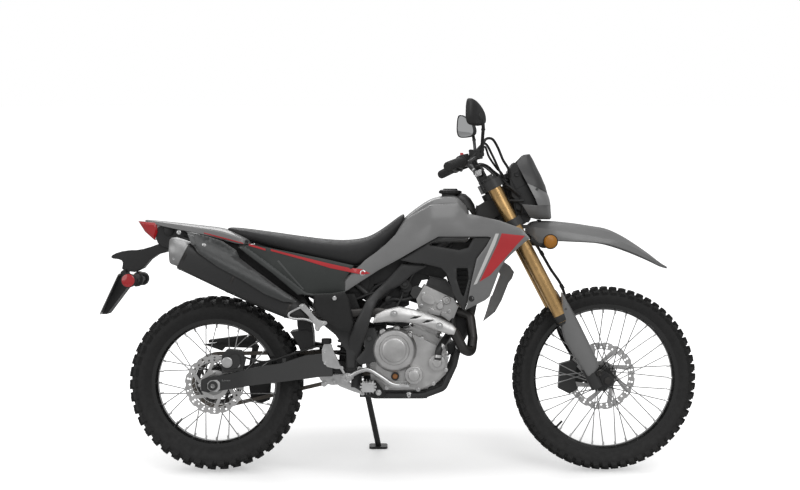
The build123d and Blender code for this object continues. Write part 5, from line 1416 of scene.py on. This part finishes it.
# ================================================================ feet, drive and rear end
def foot_gear():
    """Foot pegs, passenger loops, the brake pedal with its cylinder, and the shift lever."""
    gear = Shape()
    for way in (-1, 1):
        gear.block((572, way * 142, 326), (46, 62, 34), mark=0, taper=0.9)
        for a in around(14):
            gear.block(
                (573 + 26 * math.cos(a), way * 166, 328 + 23 * math.sin(a)), (9, 12, 7),
                (math.cos(a), 0, math.sin(a)),
            )
        for row in range(4):
            for tooth in range(5):
                gear.block((552 + 13 * row, way * (120 + 11 * tooth), 340), (7, 6, 7), taper=0.5)
        gear.turn((574, way * 104, 326), (0, way, 0), [(-6, 9), (10, 9), (10, 6)], 16)
        gear.prism(
            [(548, 344), (600, 344), (640, 292), (625, 280), (590, 284), (556, 306)], way * 92, way * 112,
            1,
        )
        gear.bolt((610, way * 112, 301), (0, way, 0), 8, 6)
        gear.plate([
            (317, 622), (328, 632), (344, 630), (372, 590), (394, 570), (422, 568), (424, 556),
            (400, 548), (392, 528), (378, 536), (378, 560), (350, 592),
        ], way * 158, way * 170)
        gear.hose([
            (334, way * 164, 620), (310, way * 166, 612), (284, way * 166, 596), (286, way * 166, 582),
            (308, way * 166, 576), (346, way * 164, 574), (392, way * 160, 556),
        ], 4.5, 10, steps=5)
        for x, z in ((332, 622), (408, 561), (386, 540)):
            gear.bolt((x, way * 170, z), (0, way, 0), 4, 4)
    pedal = flowing([
        (498, -112, 356), (530, -116, 376), (571, -120, 386), (616, -124, 362), (659, -127, 334),
        (690, -127, 328),
    ], 6)
    gear.tube(pedal, 8.6, 12)
    gear.block((490, -114, 352), (34, 12, 30), (1, 0, 0.35), taper=0.95)
    gear.turn((490, -118, 352), RIGHT, [(0, 11), (6, 11), (6, 6), (1, 6)], 20)
    gear.block((704, -128, 329), (40, 22, 9), (1, 0, -0.05), taper=0.9)
    for step in range(4):
        gear.block((691 + 8.5 * step, -128, 335), (3, 20, 4))
    gear.turn((500, -74, 356), RIGHT, [(0, 13), (46, 13), (48, 10), (48, 0)], 22)
    gear.plate([(478, 352), (482, 374), (520, 372), (516, 346)], -106, -116)
    gear.turn((418, -110, 486), Z, [(-4, 19), (12, 19), (15, 17), (15, 0)], 26, 1)
    gear.plate([(404, 400), (400, 480), (436, 482), (440, 462), (470, 400), (470, 386)], -96, -122)
    gear.tube([(452, -110, 420), (484, -114, 372)], 5, 10)
    gear.turn((474, -104, 392), RIGHT, [(0, 7), (16, 7), (16, 0)], 12)
    for x, z in ((414, 410), (412, 452)):
        gear.bolt((x, -122, z), RIGHT, 4.6, 4)
    shift = flowing([(600, 112, 372), (640, 118, 376), (690, 122, 366), (722, 124, 350)], 6)
    gear.tube(shift, 6, 12)
    gear.turn((722, 120, 350), Y, [(0, 7), (6, 8.5), (36, 8.5), (38, 6), (38, 0)], 18, 1)
    gear.turn((600, 92, 372), Y, [(0, 12), (26, 12), (28, 9), (28, 0)], 20)
    gear.make(
        "foot_gear", [bright_alloy, rubber], "chassis", "satin_silver", "foot_controls", smooth_angle=32,
        bevel=0.8,
    )


def suspension():
    """The rear spring unit and the linkage below it."""
    unit = Shape()
    low, high = Vector((478, 0, 388)), Vector((503, 0, 632))
    way = (high - low).normalized()
    length = (high - low).length
    unit.turn(low, way, [
        (-24, 9), (-18, 17), (0, 19), (40, 22), (42, 36), (48, 36), (50, 21), (196, 21), (198, 34),
        (206, 34), (210, 20), (length, 15), (length + 8, 8),
    ], 28)
    first, second = square_to(way)
    coil = [
        low + way * (52 + 143 * k / 160) + (
            first * math.cos(k * 0.275) + second * math.sin(k * 0.275)
        ) * 29.5
        for k in range(161)
    ]
    unit.tube(coil, 5, 8, 1)
    unit.tube([low + X * -34 + way * 120, low + X * -34 + way * 196], 17, 20)
    for y in (-24, 18):
        unit.plate([
            (385, 345), (398, 364), (430, 358), (492, 360), (496, 334), (440, 316), (400, 330),
        ], y, y + 6, 2)
        unit.plate(
            [(440, 322), (452, 344), (556, 304), (560, 284), (540, 284)], y + 8 * (1 if y < 0 else -1),
            y + (14 if y < 0 else -2), 2,
        )
    for x, z in ((390, 358), (440, 330), (405, 324), (485, 345), (548, 292)):
        unit.turn((x, -28, z), LEFT, [(0, 11), (56, 11)], 16, 2)
        unit.bolt((x, -28, z), RIGHT, 8, 6, 2)
    unit.make(
        "rear_spring_unit", [engine_black, spoke_black, bright_alloy], "chassis", "engine_black", "shock",
        smooth_angle=32,
    )


def drive_side():
    """Axle ends and adjusters of the swingarm, the rear brake, and the chain's guards."""
    parts = Shape()
    for way in (-1, 1):
        parts.plate([(-20, 308), (-20, 346), (26, 350), (26, 304)], way * 120, way * 124)
        parts.turn((0, way * 122, 327), (0, way, 0), [(0, 15), (6, 15), (7, 13), (7, 7), (2, 7)], 28)
        parts.turn((-56, way * 108, 326), X, [(0, 5), (14, 5)], 12)
        parts.bolt((-46, way * 108, 326), BACK, 7, 6)
        for k in range(5):
            parts.block((34 + 7 * k, way * 120.6, 346), (1.2, 1.6, 6))
    parts.turn((52, -118, 413), RIGHT, [(-40, 20), (6, 20), (8, 17), (8, 0)], 26)
    parts.turn((92, -114, 402), RIGHT, [(-10, 8), (4, 8), (4, 0)], 16)
    parts.plate([(112, 332), (190, 338), (194, 270), (176, 240), (140, 236), (118, 262)], 100, 106)
    for x, z in ((130, 322), (176, 326), (244, 402), (252, 480)):
        parts.bolt((x, 120, z), LEFT, 4.4, 4)
    parts.make("swingarm_fittings", bright_alloy, "chassis", "bright_steel", smooth_angle=32, bevel=0.6)
    pads = Shape()
    pads.plate([(30, 374), (32, 440), (50, 458), (100, 455), (117, 420), (108, 384)], -86, -116)
    pads.plate([(60, 384), (62, 440), (96, 446), (104, 400)], -116, -121)
    pads.hose([
        (96, -112, 440), (140, -112, 424), (200, -110, 416), (300, -108, 446), (380, -104, 470),
        (410, -104, 470),
    ], 4, 9)
    for x in (150, 262):
        pads.block((x, -112, 420), (14, 12, 16))
    pads.prism([(380, 452), (392, 452), (392, 356), (380, 356)], 95, 124)
    pads.prism([
        (-68, 463), (129, 482), (150, 455), (129, 380), (110, 380), (122, 448), (20, 451), (8, 437),
    ], 100, 104)
    pads.hose([(398, -60, 400), (360, -90, 420), (330, -112, 416)], 4, 8, steps=5)
    pads.make("rear_brake_fittings", engine_black, "chassis", "leg_black", smooth_angle=35, bevel=0.8)


def plate_holder():
    """The arm that carries the bare plate, the flap ahead of the wheel, and the rear signals."""
    holder = Shape()
    top = [
        (-150, 872), (-209, 845), (-271, 827), (-324, 826), (-368, 812), (-377, 797), (-336, 792),
        (-330, 778),
    ]
    low = [(-336, 752), (-271, 744), (-217, 808), (-155, 824)]
    arm = [to_middle(x, z) for x, z in top + low]
    holder.plate(arm, -30, 30)
    holder.plate([
        (-96, 884), (-150, 908), (-212, 922), (-226, 880), (-214, 843), (-155, 826), (-112, 852),
    ], -40, 40)
    holder.prism([(-338, 756), (-354, 746), (-424, 586), (-406, 586), (-326, 692)], -42, 42)
    holder.block((-386, 0, 664), (3, 178, 150), (0.905, 0, -0.42), (0.42, 0, 0.905))
    holder.tube([(-284, -112, 716), (-284, 112, 716)], 9, 14)
    holder.block((-306, 0, 716), (34, 60, 14))
    for way in (-1, 1):
        holder.turn(
            (-304, way * 60, 715), (0, way, 0), [(0, 9), (52, 8), (54, 20), (58, 25), (60, 20), (60, 0)],
            28,
        )
    holder.turn((-175, 0, 898), RIGHT, [(30, 20), (44, 20), (46, 17), (46, 0)], 24)
    holder.plate([
        (324, 456), (316, 500), (303, 560), (310, 640), (318, 700), (330, 700), (325, 620), (362, 548),
        (365, 456),
    ], -62, 62)
    holder.prism([(279, 521), (342, 530), (364, 520), (367, 458), (320, 448), (304, 484)], -66, 66)
    holder.make(
        "plate_holder", black_plastic, "chassis", "black_plastic", "rear_fender", smooth_angle=35,
        bevel=1.5,
    )
    lamps = Shape()
    for way in (-1, 1):
        lamps.turn((-266, way * 62, 716), BACK, [(0, 8), (6, 19), (16, 25), (30, 26.5), (32, 25)], 28, 1)
        lamps.turn((-266, way * 62, 716), BACK, [(30, 25), (36, 22), (39, 14), (40, 0)], 28, 2)
        lamps.turn((-312, way * 119, 715), (0, way, 0), [(0, 27), (5, 27), (6, 25), (6, 0)], 32, 1)
        lamps.turn((-312, way * 121, 715), (0, way, 0), [(0, 24), (5, 24), (6.5, 21), (7, 0)], 32, 0)
        lamps.block((-298, way * 112, 716), (30, 10, 14), mark=1)
    lamps.make(
        "rear_lamps", [lens_red, black_plastic, lens_amber], "chassis", "black_plastic", "rear_signals",
        smooth_angle=35,
    )


def cooling():
    """The radiator on the left, with its fins, fan boss and two hoses."""
    core = Shape()
    low, high = Vector((942, 94, 662)), Vector((1000, 94, 852))
    up = (high - low).normalized()
    ahead = Y.cross(up)
    middle = (low + high) / 2
    core.block(middle, (26, 64, 168), ahead, up)
    core.block(low + up * 6, (32, 66, 20), ahead, up)
    core.block(high - up * 6, (32, 66, 22), ahead, up)
    for k in range(26):
        core.block(middle + up * (-78 + 6.2 * k) + ahead * 13, (7, 58, 1.4), ahead, up)
    for k in range(9):
        core.block(low + up * (22 + 19 * k) + ahead * 27 - Y * 2, (4, 66, 4), ahead, up)
    for y in (62, 94, 126):
        core.block(middle + ahead * 28 + Y * (y - 94), (4, 3, 172), ahead, up)
    core.turn(high + up * 2 - Y * 12, up, [(0, 13), (6, 13), (6, 19), (14, 19), (15, 16), (15, 0)], 24)
    core.turn(middle - ahead * 16, -ahead, [(0, 29), (12, 28), (14, 24), (14, 0)], 30)
    core.hose([(968, 96, 842), (948, 84, 800), (910, 62, 740), (884, 40, 700)], 12.5, 14)
    core.hose([(936, 96, 672), (922, 92, 620), (896, 84, 540), (866, 74, 480), (856, 68, 452)], 12.5, 14)
    core.make("radiator_core", engine_black, "chassis", "leg_black", "radiator", smooth_angle=32)


VALVE_ANGLE = 3.95


def wheel_fittings():
    """Spoke nipples at the rims, the discs' bolts and the valves."""
    for name, axle, body, spokes, rim_r, disc_y, disc_r, bolts in (
        ("front_wheel_fittings", FRONT_AXLE, "front_wheel", 36, 256, 62, 52, 5),
        ("rear_wheel_fittings", REAR_AXLE, "rear_wheel", 32, 219, -78, 46, 4),
    ):
        fittings = Shape()
        for k, a in enumerate(around(spokes)):
            nipple = axle + outward(a) * (rim_r + 3) + Y * (7 if k % 2 else -7)
            fittings.turn(nipple, -outward(a), [(0, 4.2), (16, 3.4), (17, 2)], 8)
        for a in around(bolts):
            place = axle + outward(a) * disc_r
            way = math.copysign(1, disc_y)
            fittings.bolt(place + Y * (disc_y + way * 2), (0, way, 0), 4.6, 4)
        valve = outward(VALVE_ANGLE)
        fittings.turn(axle + valve * (rim_r + 4), -valve, [(0, 7), (5, 7), (6, 4), (34, 4), (34, 0)], 12, 1)
        fittings.make(name, [bright_alloy, rubber], body, "bright_steel", smooth_angle=32)


foot_gear()
suspension()
drive_side()
plate_holder()
cooling()
wheel_fittings()


# ================================================================ inside the frame
SPAR_GUARD = [
    (789, 767), (760, 775), (695, 775), (636, 711), (601, 679), (566, 644), (543, 597), (519, 550),
    (502, 500), (490, 440), (486, 384), (500, 366), (528, 372), (538, 420), (549, 474), (578, 562),
    (590, 603), (607, 644), (636, 667), (689, 696), (736, 737),
]
BRACKET_GUARD = [
    (560, 542), (597, 542), (606, 510), (606, 460), (614, 436), (600, 416), (541, 404), (526, 423),
    (559, 462), (552, 500),
]
GUSSET = [
    (380, 592), (405, 592), (450, 547), (512, 540), (530, 480), (520, 392), (496, 392), (490, 455),
    (450, 514), (410, 546),
]
HEEL_PANEL = [
    (372, 664), (440, 668), (487, 675), (505, 640), (520, 560), (506, 524), (456, 534), (420, 566),
    (388, 590), (372, 620),
]
spar_face = relief(
    (790, 760, 97), (740, 756, 97), (690, 730, 98), (650, 690, 104), (615, 660, 132), (590, 630, 158),
    (565, 600, 166), (545, 560, 166), (540, 520, 148), (525, 470, 116), (510, 420, 102), (505, 380, 98),
    (640, 670, 106), (600, 670, 130), (570, 560, 166), (500, 500, 126),
)


def inner_parts():
    """Spar guards, heel panels, airbox, neck, coolant tank, left blade and lamp bracket."""
    spars = Shape().sheet(SPAR_GUARD, lambda x, z: -spar_face(x, z), 6, step=12, roll=6, roll_width=11)
    spars.sheet(BRACKET_GUARD, lambda x, z: -128, 6, step=12, roll=4)
    spars.sheet(GUSSET, lambda x, z: -110, 6, step=14, roll=3)
    spars.turn((576, -128, 502), RIGHT, [(0, 9), (6, 9), (8, 7), (8, 0)], 20)
    spars.mirrored().make("spar_guards", dark_panel, "chassis", "black_frame", smooth_angle=40)
    panel = Shape().sheet(
        HEEL_PANEL, lambda x, z: -168 + 0.0016 * (x - 440) ** 2, 4, step=13, roll=4, roll_width=8,
    )
    panel.sheet([(378, 668), (520, 664), (545, 600), (420, 560), (380, 600)], lambda x, z: -100, 4, step=20)
    panel.sheet([
        (-80, 890), (91, 858), (128, 836), (329, 666), (358, 606), (322, 620), (304, 645), (122, 749),
        (-58, 853),
    ], lambda x, z: -92, 5, step=22)
    panel.bolt((450, -168, 652), RIGHT, 6, 5)
    panel.mirrored().make("heel_panels", gloss_free_black, "chassis", "dark_plastic")
    box = Shape()
    box.plate([(398, 800), (400, 668), (556, 636), (592, 660), (592, 750), (620, 800), (560, 800)], -62, 62)
    box.plate([(420, 770), (424, 690), (548, 662), (576, 690), (574, 744), (540, 762)], -70, 70)
    box.plate([
        (600, 720), (690, 792), (780, 830), (960, 866), (966, 838), (905, 822), (800, 786), (700, 760),
        (640, 700),
    ], -50, 50)
    box.plate([(150, 828), (380, 778), (600, 760), (650, 830), (600, 850), (150, 862)], -78, 78)
    box.plate([(300, 700), (370, 640), (400, 668), (398, 790), (300, 800), (240, 800)], -58, 58)
    box.prism([(580, 742), (640, 792), (700, 812), (723, 775), (648, 710), (580, 696)], -60, 60)
    box.prism([
        (640, 700), (695, 785), (868, 768), (880, 740), (846, 716), (800, 728), (752, 742), (716, 700),
        (700, 660),
    ], -40, 40)
    box.prism([
        (560, 640), (600, 688), (700, 700), (722, 650), (724, 620), (676, 600), (600, 590), (560, 604),
    ], -40, 30)
    box.prism([(700, 690), (752, 700), (770, 668), (752, 640), (716, 640)], -34, 34)
    box.prism([(890, 700), (900, 640), (884, 600), (870, 610), (876, 680)], -50, 50)
    box.prism([(716, 704), (738, 746), (800, 748), (796, 716), (770, 712), (756, 684)], -30, 30)
    box.prism([(600, 570), (640, 572), (726, 562), (724, 545), (690, 538), (640, 546), (600, 544)], -62, 40)
    box.prism([(886, 606), (933, 600), (948, 584), (926, 509), (916, 452), (890, 452), (898, 537)], -24, 24)
    for x, z in ((440, 740), (540, 700), (470, 700)):
        box.bolt((x, -70, z), RIGHT, 4, 4)
    for k in range(4):
        box.block((500, -70, 690 + 16 * k), (80, 4, 5), (1, 0, -0.18))
    box.hose([(560, -74, 640), (600, -82, 690), (660, -84, 720), (720, -80, 770), (790, -70, 820)], 7, 10)
    box.hose([(420, -74, 650), (480, -86, 628), (540, -88, 650), (600, -80, 668), (650, -66, 650)], 6, 10)
    box.hose([(600, -60, 590), (650, -70, 640), (700, -66, 640), (740, -50, 650)], 9, 12)
    box.hose([(560, -56, 560), (600, -70, 548), (650, -78, 556), (700, -78, 540)], 5, 9)
    box.block((655, -52, 610), (54, 40, 46), (1, 0, 0.5), (-0.5, 0, 1))
    box.block((612, -50, 552), (40, 44, 52))
    box.turn((640, -46, 640), (0.3, -1, 0), [(0, 16), (30, 16), (32, 12), (32, 0)], 18)
    box.make("airbox_and_wiring", black_plastic, "chassis", "black_plastic", smooth_angle=35, bevel=1.2)
    neck = Shape()
    for y in (-46, 34):
        neck.loft([[steer(f, y + step, u) for f, u in (
            (-96, -98), (-88, -60), (-60, -30), (-30, -28), (0, -28), (16, -44), (16, -92), (0, -98),
        )] for step in (0, 12)])
    for u in (-84, -58):
        neck.tube([steer(-60, -34, u), steer(-60, 34, u)], 8, 12)
    neck.hose([(930, -48, 905), (958, -46, 950), (974, -44, 975), (978, -42, 992)], 5, 10, steps=5)
    neck.hose([(940, -46, 912), (966, -44, 936), (984, -42, 950)], 6, 10, steps=5)
    neck.plate([(905, 896), (940, 930), (985, 914), (1010, 890), (1000, 874), (960, 868)], -40, 40)
    neck.make("neck_gussets", engine_black, "chassis", "black_frame", smooth_angle=35, bevel=1.2)
    duct = Shape()
    duct.plate([(884, 780), (950, 778), (952, 700), (934, 628), (908, 640), (888, 700)], -6, 60)
    duct.plate([(868, 860), (975, 868), (985, 800), (960, 780), (884, 784)], -40, 58)
    for k in range(7):
        duct.block((918, -8, 660 + 17 * k), (46, 6, 3))
    duct.make("coolant_tank", black_plastic, "chassis", "black_plastic", smooth_angle=35, bevel=1.5)
    blade = Shape().sheet([
        (1000, 792), (1040, 800), (1080, 784), (1112, 762), (1128, 738), (1120, 714), (1106, 696),
        (1080, 630), (1055, 585), (1008, 548), (1022, 590), (1038, 644), (1044, 650), (1074, 730),
        (1050, 764), (1000, 770),
    ], lambda x, z: 129, 5, step=13, roll=3, roll_width=8,)
    # The blade takes the lighter-painted copy of the body grey, which stands in for light on its shaded face.
    blade.make("left_radiator_blade", grey_body_painted_lighter, "chassis", "grey_plastic")
    lamp = Shape()
    lamp.loft([
        [steer(f, y, u) for f, u in ((52, -118), (52, -20), (84, 30), (120, 20), (128, -40), (100, -112))]
        for y in (-44, 44)
    ])
    lamp.hose([steer(56, -60, -10), steer(84, -70, -50), steer(92, -66, -96), steer(70, -60, -130)], 6, 10)
    lamp.hose([steer(50, -66, 10), steer(74, -84, -20), steer(96, -80, -70)], 4.5, 9)
    lamp.hose([steer(56, 60, -10), steer(84, 70, -50), steer(92, 66, -96)], 6, 10)
    for way in (-1, 1):
        lamp.block(steer(112, way * 62, -10), (40, 24, 60), STEER_FORWARD, STEER_UP)
    for half, outline in (
        (72, [
            (1092, 1120), (1112, 1150), (1134, 1140), (1146, 1094), (1160, 1072), (1200, 996),
            (1146, 988), (1104, 1026),
        ]),
        (58, [(1096, 1034), (1140, 1016), (1214, 1000), (1212, 960), (1180, 950), (1120, 980)]),
        (44, [(1120, 990), (1180, 956), (1176, 936), (1150, 926), (1112, 940)]),
    ):
        lamp.prism(outline, -half, half)
    lamp.turn((1124, -76, 1108), RIGHT, [(-20, 9), (4, 9), (5, 7), (3, 5), (3, 0)], 20)
    lamp.make("lamp_bracket", black_plastic, "steering", "black_plastic", smooth_angle=35, bevel=1.5)


gloss_free_black = grained("gloss_free_black", (0.005, 0.005, 0.005), 0.6, 1500, 0.00008)
# Painted light: the left radiator blade is the same grey plastic as BODY_GREY, painted lighter here to lift
# the shade it sits in.
grey_body_painted_lighter = grained("grey_body_painted_lighter", (0.27, 0.27, 0.27), 0.42, 900, 0.00003)
inner_parts()


# ================================================================ floor, light and camera
def studio():
    """A pale floor with a painted shadow that greys it near the machine, a white backdrop and four soft
    lamps.
    """
    size = 14.0
    floor_mesh = bpy.data.meshes.new("floor")
    floor_mesh.from_pydata(
        [(-size, -size, 0), (size, -size, 0), (size, size, 0), (-size, size, 0)], [], [(0, 1, 2, 3)],
    )
    floor = bpy.data.objects.new("floor", floor_mesh)
    bpy.context.scene.collection.objects.link(floor)
    pale = Finish("floor_with_painted_shadow", (0.6, 0.6, 0.6), 0.9)
    bright = pale.tree.nodes.new("ShaderNodeBsdfPrincipled")
    for socket, value in (
        ("Base Color", (0.8, 0.8, 0.8, 1)), ("Roughness", 0.9), ("Emission Color", (1, 1, 1, 1)),
        ("Emission Strength", 0.8),
    ):
        bright.inputs[socket].default_value = value
    # Painted shadow: to the camera the floor glows grey (0.42) near the machine and white further out, so
    # shade shows under the machine that no lamp casts.
    near = pale.node("ShaderNodeMapping", {}, {"Vector": pale.place(), "Scale": (0.5, 1.2, 1)})
    far = pale.span(
        pale.node("ShaderNodeVectorMath", {"operation": "LENGTH"}, [near], out="Value"), 0.28, 0.8,
    )
    pale.put(bright.inputs["Emission Color"], pale.mix(far, (0.42, 0.42, 0.42), (1.0, 1.0, 1.0)))
    direct = pale.node("ShaderNodeLightPath", out="Is Camera Ray")
    either = pale.tree.nodes.new("ShaderNodeMixShader")
    pale.tree.links.new(direct.socket, either.inputs[0])
    pale.tree.links.new(pale.surface.outputs[0], either.inputs[1])
    pale.tree.links.new(bright.outputs[0], either.inputs[2])
    pale.tree.links.new(either.outputs[0], pale.tree.nodes["Material Output"].inputs["Surface"])
    floor_mesh.materials.append(pale.material)
    world = bpy.data.worlds.new("studio")
    bpy.context.scene.world = world
    world.use_nodes = True
    tree = world.node_tree
    tree.nodes.clear()
    ray = tree.nodes.new("ShaderNodeLightPath")
    seen = tree.nodes.new("ShaderNodeMath")
    seen.operation = "MAXIMUM"
    tree.links.new(ray.outputs["Is Camera Ray"], seen.inputs[0])
    tree.links.new(ray.outputs["Is Transmission Ray"], seen.inputs[1])
    ambient = tree.nodes.new("ShaderNodeBackground")
    ambient.inputs["Color"].default_value = (1, 1, 1, 1)
    ambient.inputs["Strength"].default_value = AMBIENT
    backdrop = tree.nodes.new("ShaderNodeBackground")
    backdrop.inputs["Color"].default_value = (1, 1, 1, 1)
    backdrop.inputs["Strength"].default_value = BACKDROP
    blend = tree.nodes.new("ShaderNodeMixShader")
    out = tree.nodes.new("ShaderNodeOutputWorld")
    tree.links.new(seen.outputs[0], blend.inputs[0])
    tree.links.new(ambient.outputs[0], blend.inputs[1])
    tree.links.new(backdrop.outputs[0], blend.inputs[2])
    tree.links.new(blend.outputs[0], out.inputs[0])
    for name, place, size, power in (
        ("key", (1.6, -3.2, 3.6), 2.6, 46), ("fill", (-2.8, -2.6, 2.2), 2.4, 20),
        ("back", (-0.6, 3.4, 3.0), 2.6, 44), ("top", (0.0, 0.0, 4.2), 3.0, 40),
    ):
        lamp_data = bpy.data.lights.new(name, "AREA")
        lamp_data.shape = "DISK"
        lamp_data.size = size
        lamp_data.energy = power
        lamp = bpy.data.objects.new(name, lamp_data)
        lamp.location = place
        lamp.rotation_euler = (Vector((0, -0.05, 0.6)) - Vector(place)).to_track_quat("-Z", "Y").to_euler()
        bpy.context.scene.collection.objects.link(lamp)
    bpy.context.scene.view_settings.view_transform = "Standard"


def camera():
    """Square to the machine's right side, and leaning with it."""
    lens = bpy.data.cameras.new("camera")
    lens.sensor_width = 36
    lens.lens = LENS
    lens.shift_y = LENS_SHIFT
    eye = bpy.data.objects.new("camera", lens)
    place = BIKE @ Vector((EYE_X, -EYE_AWAY, EYE_Z))
    right, ahead, up = (UPRIGHT_TO_ROW.to_3x3() @ v for v in (X, Y, Z))
    turn = Matrix((right, up, -ahead)).transposed()
    eye.matrix_world = Matrix.Translation(place) @ turn.to_4x4()
    bpy.context.scene.collection.objects.link(eye)
    bpy.context.scene.camera = eye


studio()
camera()
